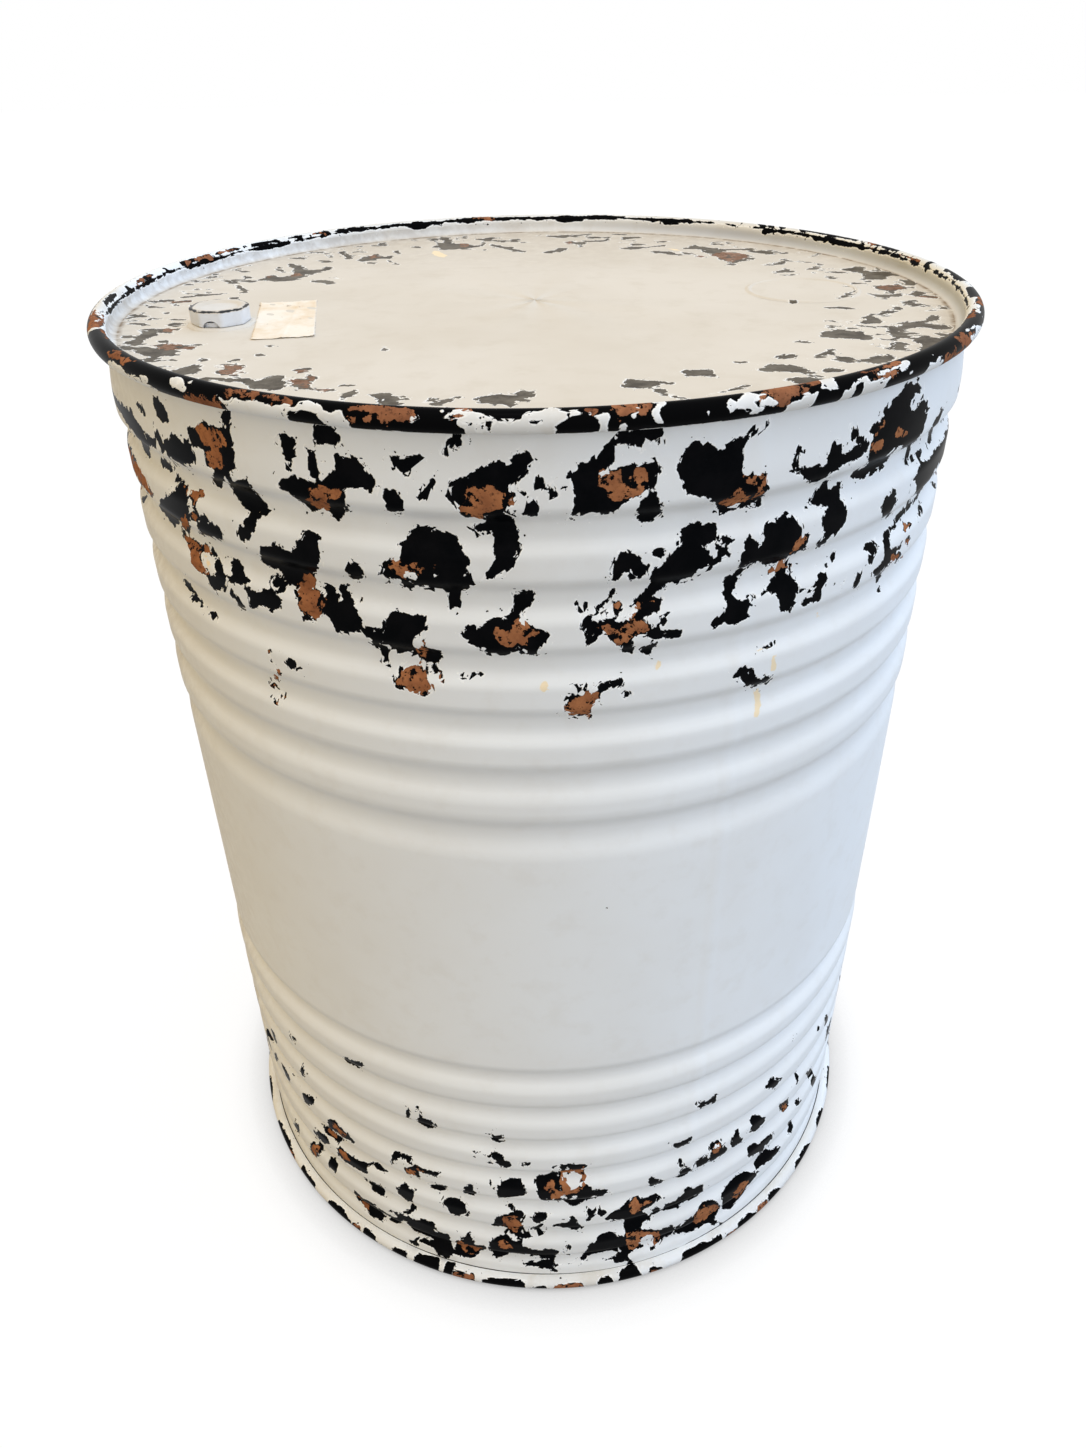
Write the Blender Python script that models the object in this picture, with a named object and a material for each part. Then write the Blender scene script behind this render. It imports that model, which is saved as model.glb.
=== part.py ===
# Tight-head steel drum with round chimes, rolled grooves and one small screw plug.
# The drum stands on the ground: the origin is the centre of its foot, +Z is up,
# and -Y is the side with the plug's nearer edge.

import math

import bmesh
import bpy
from mathutils import Matrix, Vector

MM = 0.001

# Overall sizes
chime_diameter = 585.0 * MM
drum_height = 747.0 * MM
sheet = 1.0 * MM
clearance = 0.3 * MM
facets_round_drum = 36
facets_round_bung = 24

# Chimes: the head's edge is curled round over the flange of the wall
bead_width = 11.2 * MM
bead_height = 12.0 * MM
panel_depth = 13.0 * MM
panel_corner = 4.0 * MM

# Wall profile
neck_margin = 2.0 * MM
crest_projection = 0.8 * MM
first_crest_projection = 2.4 * MM
groove_depth = 5.0 * MM
plain_setback = 0.6 * MM
groove_floor = 8.0 * MM
groove_slope = 9.0 * MM
plain_slope = 16.0 * MM
shoulder_drop = 28.0 * MM
first_crest_land = 6.0 * MM
foot_crest_land = 4.5 * MM
top_groove_count = 6
top_groove_pitch = 39.2 * MM
bottom_groove_count = 7
bottom_groove_pitch = 38.3 * MM

# Bung: thread size, position on the head and the pieces stacked round it
bung_inset = 69.8 * MM
bung_azimuth = math.radians(194.2)
stem_diameter = 26.4 * MM
stem_length = 15.0 * MM
stem_hollow_diameter = 19.0 * MM
stem_roof = 2.0 * MM
flange_wall = 1.1 * MM
flange_lip_overhang = 1.6 * MM
flange_lip_thickness = 0.8 * MM
flange_base_margin = 9.0 * MM
flange_base_thickness = 3.0 * MM
flange_barrel_length = 9.0 * MM
gasket_thickness = 1.5 * MM
plug_gasket_thickness = 1.2 * MM
plug_skirt_wall = 1.4 * MM
plug_head_height = 10.0 * MM
plug_edge_chamfer = 0.7 * MM
plug_dish_diameter = 28.0 * MM
plug_dish_depth = 1.5 * MM
plug_notch_width = 9.4 * MM
plug_notch_depth = 0.9 * MM
plug_corner_azimuth = math.radians(285.6)
seat_margin = 3.6 * MM
seat_height = 1.2 * MM
seat_flank = 1.0 * MM

# Round embossing on the other side of the head
ring_inset = 91.5 * MM
ring_azimuth = math.radians(5.1)
ring_diameter = 76.0 * MM
ring_width = 4.0 * MM
ring_height = 0.8 * MM

# Paper label beside the plug
label_width = 37.0 * MM
label_length = 101.0 * MM
label_thickness = 0.3 * MM
label_seat_gap = 0.5 * MM
label_shift = 5.7 * MM
label_turn = math.radians(8.5)

# Sizes that follow from the ones above
chime_radius = chime_diameter / 2
bead_centre_radius = chime_radius - bead_width / 2
chuck_radius = chime_radius - bead_width
neck_radius = chuck_radius + sheet + clearance + sheet
crest_radius = neck_radius + crest_projection
first_crest_radius = neck_radius + first_crest_projection
groove_radius = crest_radius - groove_depth
plain_radius = neck_radius - plain_setback
neck_length = panel_depth + sheet + neck_margin
groove_reach = groove_floor / 2 + groove_slope
top_panel_z = drum_height - panel_depth

bore_radius = stem_diameter / 2 + clearance
barrel_radius = bore_radius + flange_wall
hole_radius = barrel_radius + clearance
lip_radius = barrel_radius + flange_lip_overhang
counterbore_radius = lip_radius + clearance
plug_corner_radius = (counterbore_radius + plug_skirt_wall) / math.cos(math.pi / 8)
seat_corner_radius = plug_corner_radius + seat_margin
flange_base_corner_radius = barrel_radius + flange_base_margin
seat_hollow_corner_radius = seat_corner_radius - sheet - seat_flank
gasket_radius = seat_hollow_corner_radius * math.cos(math.pi / 8) - clearance
bung_circle = chuck_radius - bung_inset
bung_x = bung_circle * math.cos(bung_azimuth)
bung_y = bung_circle * math.sin(bung_azimuth)
ring_circle = chuck_radius - ring_inset
ring_x = ring_circle * math.cos(ring_azimuth)
ring_y = ring_circle * math.sin(ring_azimuth)

# Heights of the bung's stack above the head's panel
seat_top = seat_height
lip_bottom = seat_top + clearance
lip_top = lip_bottom + flange_lip_thickness
plug_gasket_bottom = lip_top + clearance
plug_gasket_top = plug_gasket_bottom + plug_gasket_thickness
plug_bottom = seat_top + clearance
plug_shoulder = plug_gasket_top + clearance
plug_top = plug_bottom + plug_head_height
seat_underside = seat_top - sheet
gasket_top = seat_underside - clearance
gasket_bottom = gasket_top - gasket_thickness
base_top = gasket_bottom - clearance
base_bottom = base_top - flange_base_thickness
barrel_bottom = base_bottom - flange_barrel_length


def clear_scene():
    for old in list(bpy.data.objects):
        bpy.data.objects.remove(old, do_unlink=True)


def material(name, colour, roughness, metallic):
    made = bpy.data.materials.new(name)
    made.use_nodes = True
    shader = made.node_tree.nodes["Principled BSDF"]
    shader.inputs["Base Color"].default_value = (*colour, 1.0)
    shader.inputs["Roughness"].default_value = roughness
    shader.inputs["Metallic"].default_value = metallic
    return made


def to_object(bm, name, look=None):
    bmesh.ops.recalc_face_normals(bm, faces=bm.faces)
    mesh = bpy.data.meshes.new(name)
    bm.to_mesh(mesh)
    bm.free()
    mesh.shade_smooth()
    mesh.set_sharp_from_angle(angle=math.radians(35))
    made = bpy.data.objects.new(name, mesh)
    if look:
        mesh.materials.append(look)
    bpy.context.scene.collection.objects.link(made)
    return made


def turned(profile, steps, closed):
    # A profile of (radius, height) points turned about Z. A closed profile makes
    # a ring, an open one a disc whose two ends are filled.
    bm = bmesh.new()
    verts = [bm.verts.new((radius, 0.0, height)) for radius, height in profile]
    edges = [bm.edges.new(pair) for pair in zip(verts, verts[1:])]
    if closed:
        edges.append(bm.edges.new((verts[-1], verts[0])))
    bmesh.ops.spin(
        bm,
        geom=verts + edges,
        cent=(0.0, 0.0, 0.0),
        axis=(0.0, 0.0, 1.0),
        angle=2 * math.pi,
        steps=steps,
        use_merge=True,
    )
    if not closed:
        rims = [edge for edge in bm.edges if edge.is_boundary]
        bmesh.ops.holes_fill(bm, edges=rims, sides=0)
    return bm


def octagon(corner_radius, top_corner_radius, bottom, top, corner_azimuth):
    bm = bmesh.new()
    turn = Matrix.Rotation(corner_azimuth, 4, "Z")
    lift = Matrix.Translation((0.0, 0.0, (bottom + top) / 2))
    bmesh.ops.create_cone(
        bm,
        cap_ends=True,
        segments=8,
        radius1=corner_radius,
        radius2=top_corner_radius,
        depth=top - bottom,
        matrix=lift @ turn,
    )
    return bm


def disc_between(radius, bottom, top, steps):
    return turned([(radius, bottom), (radius, top)], steps, closed=False)


def as_cutter(bm, name):
    made = to_object(bm, name)
    made.hide_render = True
    made.display_type = "WIRE"
    return made


def combine(target, other, operation):
    # The other shape is used up: only its effect on the target stays.
    step = target.modifiers.new(operation.lower(), "BOOLEAN")
    step.object = other
    step.operation = operation
    step.solver = "EXACT"
    bpy.context.view_layer.update()
    graph = bpy.context.evaluated_depsgraph_get()
    result = bpy.data.meshes.new_from_object(target.evaluated_get(graph))
    target.modifiers.clear()
    old = target.data
    target.data = result
    bpy.data.meshes.remove(old)
    bpy.data.objects.remove(other, do_unlink=True)


def place(thing, x, y, z):
    thing.location = (x, y, z)
    bpy.context.view_layer.update()


def hook(angles, depth, centre_z, up):
    # Points of the chime's section on a twelve-sided ring, depth below its
    # outer surface. An angle of 180 degrees points at the drum's axis.
    half_width = (bead_width / 2 - depth) / math.cos(math.radians(15))
    half_height = (bead_height / 2 - depth) / math.cos(math.radians(15))
    points = []
    for angle in angles:
        turn = math.radians(angle)
        radius = bead_centre_radius + half_width * math.cos(turn)
        points.append((radius, centre_z + up * half_height * math.sin(turn)))
    return points


def head_profile():
    # From the middle of the panel's inner face out to the curl and back over
    # its outer face, as a top head.
    centre_z = drum_height - bead_height / 2
    curl = [165, 135, 105, 75, 45, 15, -15, -45, -75, -105, -120]
    panel_edge = chuck_radius - panel_corner
    skew = sheet * math.tan(math.pi / 8)
    inner = [
        (panel_edge * 0.5, top_panel_z - sheet),
        (panel_edge + skew, top_panel_z - sheet),
        (chuck_radius + sheet, top_panel_z + panel_corner - skew),
    ]
    inner += hook(curl, sheet, centre_z, 1)
    outer = hook(reversed(curl), 0.0, centre_z, 1)
    outer += [
        (chuck_radius, top_panel_z + panel_corner),
        (panel_edge, top_panel_z),
        (panel_edge * 0.5, top_panel_z),
    ]
    return inner + outer


def upside_down(profile):
    return [(radius, drum_height - height) for radius, height in profile]


def top_grooves():
    first = drum_height - neck_length - shoulder_drop - first_crest_land - groove_reach
    return [first - index * top_groove_pitch for index in range(top_groove_count)]


def bottom_grooves():
    last = neck_length + foot_crest_land + groove_reach
    heights = [last + index * bottom_groove_pitch for index in range(bottom_groove_count)]
    return heights[::-1]


def groove(height, radius_above, radius_below, rise, drop):
    half = groove_floor / 2
    return [
        (radius_above, height + half + rise),
        (groove_radius, height + half),
        (groove_radius, height - half),
        (radius_below, height - half - drop),
    ]


def wall_profile():
    # Outer face of the wall from the upper neck down to the lower one.
    above = top_grooves()
    below = bottom_grooves()
    points = [(neck_radius, drum_height - neck_length)]
    points.append((first_crest_radius, above[0] + groove_reach + first_crest_land))
    for index, height in enumerate(above):
        start = first_crest_radius if index == 0 else crest_radius
        last = index == len(above) - 1
        end = plain_radius if last else crest_radius
        drop = plain_slope if last else groove_slope
        points += groove(height, start, end, groove_slope, drop)
    for index, height in enumerate(below):
        start = plain_radius if index == 0 else crest_radius
        end = neck_radius if index == len(below) - 1 else crest_radius
        points += groove(height, start, end, groove_slope, groove_slope)
    points.append((neck_radius, neck_length))
    return points


def make_shell(look):
    wall = wall_profile()
    curl = [165, 120, 60, 15, -15, -40]
    outer_depth = sheet + clearance
    inner_depth = outer_depth + sheet
    top_z = drum_height - bead_height / 2
    foot_z = bead_height / 2
    profile = hook(reversed(curl), inner_depth, top_z, 1)
    profile += wall
    profile += hook(curl, inner_depth, foot_z, -1)
    profile += hook(reversed(curl), outer_depth, foot_z, -1)
    profile += [(radius - sheet, height) for radius, height in reversed(wall)]
    profile += hook(curl, outer_depth, top_z, 1)
    return to_object(turned(profile, facets_round_drum, closed=True), "drum_shell", look)


def make_bottom_head(look):
    profile = upside_down(head_profile())
    return to_object(turned(profile, facets_round_drum, closed=False), "bottom_head", look)


def ring_shape(half_base, half_top, bottom, top):
    radius = ring_diameter / 2
    return turned(
        [
            (radius - half_base, bottom),
            (radius + half_base, bottom),
            (radius + half_top, top),
            (radius - half_top, top),
        ],
        facets_round_bung,
        closed=True,
    )


def emboss_seat(head):
    # The octagonal seat is pressed up from the sheet, so its inner face follows.
    overlap = sheet / 2
    raised = to_object(
        octagon(seat_corner_radius, seat_corner_radius - seat_flank,
                -overlap, seat_top, plug_corner_azimuth),
        "seat",
    )
    place(raised, bung_x, bung_y, top_panel_z)
    combine(head, raised, "UNION")
    hollow = as_cutter(
        octagon(seat_hollow_corner_radius + seat_flank, seat_hollow_corner_radius,
                -2 * sheet, seat_underside, plug_corner_azimuth),
        "seat_hollow",
    )
    place(hollow, bung_x, bung_y, top_panel_z)
    combine(head, hollow, "DIFFERENCE")
    hole = as_cutter(
        disc_between(hole_radius, -4 * sheet, seat_top + 2 * sheet, facets_round_bung),
        "bung_hole",
    )
    place(hole, bung_x, bung_y, top_panel_z)
    combine(head, hole, "DIFFERENCE")


def emboss_ring(head):
    half = ring_width / 2
    overlap = sheet / 2
    ridge = to_object(ring_shape(half, half / 2, -overlap, ring_height), "ridge")
    place(ridge, ring_x, ring_y, top_panel_z)
    combine(head, ridge, "UNION")
    valley = as_cutter(
        ring_shape(half * 0.8, half * 0.4, -sheet - overlap, ring_height - sheet),
        "ridge_hollow",
    )
    place(valley, ring_x, ring_y, top_panel_z)
    combine(head, valley, "DIFFERENCE")


def make_top_head(look):
    head = to_object(turned(head_profile(), facets_round_drum, closed=False), "top_head", look)
    emboss_seat(head)
    emboss_ring(head)
    return head


def flat_ring(inner, outer, bottom, top, name, look):
    profile = [(inner, bottom), (outer, bottom), (outer, top), (inner, top)]
    made = to_object(turned(profile, facets_round_bung, closed=True), name, look)
    place(made, bung_x, bung_y, top_panel_z)
    return made


def make_bung_flange(look):
    profile = [
        (bore_radius, barrel_bottom),
        (barrel_radius, barrel_bottom),
        (barrel_radius, lip_bottom),
        (lip_radius, lip_bottom),
        (lip_radius, lip_top),
        (bore_radius, lip_top),
    ]
    flange = to_object(turned(profile, facets_round_bung, closed=True), "bung_flange", look)
    plate = to_object(
        octagon(flange_base_corner_radius, flange_base_corner_radius,
                base_bottom, base_top, plug_corner_azimuth),
        "flange_plate",
    )
    bore = as_cutter(
        disc_between(bore_radius + flange_wall / 2, base_bottom - sheet, base_top + sheet,
                     facets_round_bung),
        "flange_bore",
    )
    combine(plate, bore, "DIFFERENCE")
    combine(flange, plate, "UNION")
    place(flange, bung_x, bung_y, top_panel_z)
    return flange


def plug_notch():
    # A half-round notch at the foot of the facet left of the nearest corner.
    facet = plug_corner_azimuth - math.pi / 8
    apothem = plug_corner_radius * math.cos(math.pi / 8)
    middle = apothem - plug_notch_depth + flange_wall
    bm = bmesh.new()
    lie = Matrix.Rotation(math.pi / 2, 4, "Y")
    turn = Matrix.Rotation(facet, 4, "Z")
    move = Matrix.Translation(
        Vector((middle * math.cos(facet), middle * math.sin(facet), plug_bottom))
    )
    bmesh.ops.create_cone(
        bm,
        cap_ends=True,
        segments=20,
        radius1=plug_notch_width / 2,
        radius2=plug_notch_width / 2,
        depth=2 * flange_wall,
        matrix=move @ turn @ lie,
    )
    return as_cutter(bm, "plug_notch")


def make_plug(look):
    shoulder = plug_top - plug_edge_chamfer
    plug = to_object(
        octagon(plug_corner_radius, plug_corner_radius, plug_bottom, shoulder,
                plug_corner_azimuth),
        "bung_plug",
        look,
    )
    crown = to_object(
        octagon(plug_corner_radius + plug_edge_chamfer,
                plug_corner_radius - plug_edge_chamfer,
                shoulder - plug_edge_chamfer, plug_top, plug_corner_azimuth),
        "plug_crown",
    )
    keep = to_object(
        octagon(plug_corner_radius, plug_corner_radius, plug_bottom, plug_top + sheet,
                plug_corner_azimuth),
        "plug_keep",
    )
    combine(crown, keep, "INTERSECT")
    combine(plug, crown, "UNION")
    counterbore = as_cutter(
        disc_between(counterbore_radius, plug_bottom - sheet, plug_shoulder,
                     facets_round_bung),
        "plug_counterbore",
    )
    combine(plug, counterbore, "DIFFERENCE")
    stem_bottom = plug_shoulder - stem_length
    stem = to_object(
        disc_between(stem_diameter / 2, stem_bottom, plug_shoulder + sheet,
                     facets_round_bung),
        "plug_stem",
    )
    combine(plug, stem, "UNION")
    hollow = as_cutter(
        disc_between(stem_hollow_diameter / 2, stem_bottom - sheet,
                     plug_shoulder - stem_roof, facets_round_bung),
        "stem_hollow",
    )
    combine(plug, hollow, "DIFFERENCE")
    dish = as_cutter(
        turned(
            [
                (plug_dish_diameter / 2 - plug_dish_depth, plug_top - plug_dish_depth),
                (plug_dish_diameter / 2 + plug_dish_depth, plug_top + plug_dish_depth),
            ],
            facets_round_bung,
            closed=False,
        ),
        "plug_dish",
    )
    combine(plug, dish, "DIFFERENCE")
    combine(plug, plug_notch(), "DIFFERENCE")
    place(plug, bung_x, bung_y, top_panel_z)
    return plug


def make_label(look):
    bm = bmesh.new()
    size = Matrix.Diagonal((label_width, label_length, label_thickness, 1.0))
    bmesh.ops.create_cube(bm, size=1.0, matrix=size)
    label = to_object(bm, "paper_label", look)
    label.rotation_euler = (0.0, 0.0, label_turn)
    aside = seat_corner_radius + label_seat_gap + label_width / 2
    place(
        label,
        bung_x + aside * math.cos(label_turn) - label_shift * math.sin(label_turn),
        bung_y + aside * math.sin(label_turn) + label_shift * math.cos(label_turn),
        top_panel_z + clearance + label_thickness / 2,
    )
    return label


def main():
    clear_scene()
    make_shell(material("shell_paint", (0.60, 0.61, 0.61), 0.35, 0.0))
    make_top_head(material("top_head_paint", (0.68, 0.65, 0.59), 0.45, 0.0))
    make_bottom_head(material("bottom_head_paint", (0.60, 0.60, 0.58), 0.45, 0.0))
    make_bung_flange(material("flange_steel", (0.45, 0.44, 0.42), 0.4, 1.0))
    flat_ring(
        barrel_radius + clearance, gasket_radius, gasket_bottom, gasket_top,
        "flange_gasket", material("flange_gasket_rubber", (0.05, 0.05, 0.05), 0.8, 0.0),
    )
    flat_ring(
        bore_radius, lip_radius, plug_gasket_bottom, plug_gasket_top,
        "plug_gasket", material("plug_gasket_rubber", (0.75, 0.74, 0.70), 0.7, 0.0),
    )
    make_plug(material("plug_paint", (0.62, 0.62, 0.61), 0.4, 0.0))
    make_label(material("label_paper", (0.82, 0.74, 0.60), 0.8, 0.0))


main()
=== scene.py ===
# Looks of the weathered white steel drum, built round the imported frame.
# Azimuths are in degrees about +Z from the front (-Y), positive to the right.

import math

import bmesh
import bpy
import numpy as np
from mathutils import Matrix, Vector


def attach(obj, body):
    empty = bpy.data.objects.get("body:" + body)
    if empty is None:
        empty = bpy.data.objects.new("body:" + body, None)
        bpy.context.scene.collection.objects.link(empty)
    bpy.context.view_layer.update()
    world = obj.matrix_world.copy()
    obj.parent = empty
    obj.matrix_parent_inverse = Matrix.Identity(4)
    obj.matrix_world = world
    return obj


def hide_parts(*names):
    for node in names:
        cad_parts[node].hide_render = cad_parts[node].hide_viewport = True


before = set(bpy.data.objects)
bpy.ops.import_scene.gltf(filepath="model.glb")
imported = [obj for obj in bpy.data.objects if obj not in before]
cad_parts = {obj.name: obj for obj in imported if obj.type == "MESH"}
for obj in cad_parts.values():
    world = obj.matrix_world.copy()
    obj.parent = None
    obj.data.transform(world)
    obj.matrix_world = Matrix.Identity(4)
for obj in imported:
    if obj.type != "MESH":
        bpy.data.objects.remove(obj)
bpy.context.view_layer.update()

MM = 0.001

# Sizes of the drum in millimetres, the same as the solids have
CHIME_RADIUS = 292.5
HEIGHT = 747.0
BEAD_HALF_WIDTH = 5.6
BEAD_HALF_HEIGHT = 6.0
BEAD_RADIUS = CHIME_RADIUS - BEAD_HALF_WIDTH
CHUCK_RADIUS = CHIME_RADIUS - 2 * BEAD_HALF_WIDTH
NECK_RADIUS = CHUCK_RADIUS + 2.3
CREST_RADIUS = NECK_RADIUS + 0.8
FIRST_CREST_RADIUS = NECK_RADIUS + 2.4
GROOVE_RADIUS = CREST_RADIUS - 5.0
PLAIN_RADIUS = NECK_RADIUS - 0.6
PANEL_DEPTH = 13.0
PANEL_Z = HEIGHT - PANEL_DEPTH
PANEL_CORNER = 5.0
NECK_LENGTH = 16.0
WALL_TOP = HEIGHT - 9.0
TOP_GROOVES = [684.0 - 39.2 * index for index in range(6)]
BOTTOM_GROOVES = [33.5 + 38.3 * index for index in range(7)][::-1]

# Heights from a groove's middle: where its upper slope starts and ends, and its lower slope
TOP_GROOVE_STEPS = (12.3, 2.2, -3.3, -14.0)
LAST_TOP_GROOVE_END = -20.0
TOP_GROOVE_FLOOR = GROOVE_RADIUS - 0.8
BOTTOM_GROOVE_STEPS = (8.6, -0.5, -4.5, -16.0)
BOTTOM_GROOVE_FLOOR = GROOVE_RADIUS - 1.8

# Heights of the wall's rows of points: from, to and about how far apart
WALL_SPANS = [
    (11.0, 200.0, 3.0),
    (200.0, 280.0, 4.5),
    (280.0, 466.0, 19.0),
    (466.0, 540.0, 4.4),
    (540.0, WALL_TOP, 2.35),
]

# The rolled sheet's welded seam, a low ridge
WELD_AZIMUTH = 23.0
WELD_RISE = 0.35
WELD_HALF_WIDTH = 4.5

# The plug stands on the head's left, the embossed ring on its right
PLUG_X = -205.04
PLUG_Y = -51.88
PLUG_APOTHEM = 17.9
PLUG_HEIGHT = 10.0
PLUG_CORNER = 285.6
NOTCH_RADIUS = 4.7
NOTCH_BITE = 0.9
NOTCH_CUTTER_DEPTH = 2.2
NOTCH_SQUASH = (1.0, 1.12, 0.82, 1.0)
SEAT_CORNER_RADIUS = 22.97
SEAT_HEIGHT = 1.2
PLUG_BASE = SEAT_HEIGHT + 0.3
STEM_RADIUS = 13.2
COUNTERBORE_RADIUS = 16.5
STEM_SHOULDER = 4.1
STEM_LENGTH = 15.0
THREAD_PITCH = 1.814
RING_X = 189.0
RING_Y = 16.9
RING_RADIUS = 38.0
RING_HALF_WIDTH = 3.2
RING_RISE = 0.8
LABEL_WIDTH = 37.0
LABEL_LENGTH = 101.0
LABEL_TURN = math.radians(8.5)
LABEL_ASIDE = SEAT_CORNER_RADIUS + 0.5 + LABEL_WIDTH / 2
LABEL_AHEAD = 5.7

# The sheet in the photo is a little larger than the solid and lies off its centre
LABEL_SPARE_WIDTH = 1.6
LABEL_SPARE_LENGTH = 1.8
LABEL_SHIFT_X = -0.8
LABEL_SHIFT_Y = -2.6

# The outlines below were read on a plain wall of this radius, looking down on it from in front
READ_RADIUS = 284.0
READ_DISTANCE = 783.0
READ_HEIGHT = 900.0

# The panel's outlines were read this much nearer the back than the paint lies
READ_SHIFT = 2.7

# The unseen back repeats the outlines in front: mirrored behind on the right, as they are on
# the left
FRONT_EDGE = 66.0
BACK_TURN = 126.0

# Fields are in mm, positive inside their outlines. Beyond this distance they stay level.
FAR = 16.0

# Places round the head's section, in mm round the bead from its top: the panel ends at the
# first, and the chime's own paint starts by the second
PANEL_END = -21.0
RIM_START = -15.0

# The foot's outlines reach this much further round the bead, and it is bare up to here
FOOT_STRETCH = 1.15
FOOT_BARE = 5.5

# The camera: its place in metres, its angles and its lens
CAMERA_PLACE = (0.0, -0.7829, 0.9)
CAMERA_PITCH = math.radians(33.54)
CAMERA_ROLL = math.radians(1.04)
CAMERA_LENS = 26.67
CAMERA_SENSOR = 36.0

# The sky's light: its level at the horizon, how much more there is overhead, and how far red,
# green and blue lean towards the right
SKY_LEVEL = 0.83
SKY_RISE = 0.2
SKY_TILT = (0.22, 0.54, 1.04)

# The floor: grey for the light that it throws back, near white where it is seen
FLOOR_REACH = 14.0
FLOOR_DROP = 0.0002
FLOOR_GREY = (0.36, 0.36, 0.36, 1.0)
FLOOR_WHITE = (0.95, 0.95, 0.95, 1.0)
FLOOR_GLOW_SHARE = 0.88
# Painted contact shadow in the floor's glow: how far it reaches, how much glow it takes, and the
# glow left where it is darkest
CONTACT_SHADOW_DISTANCE = 0.05
CONTACT_SHADOW_DEPTH = 0.78
CONTACT_SHADOW_REST = 0.25

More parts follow.
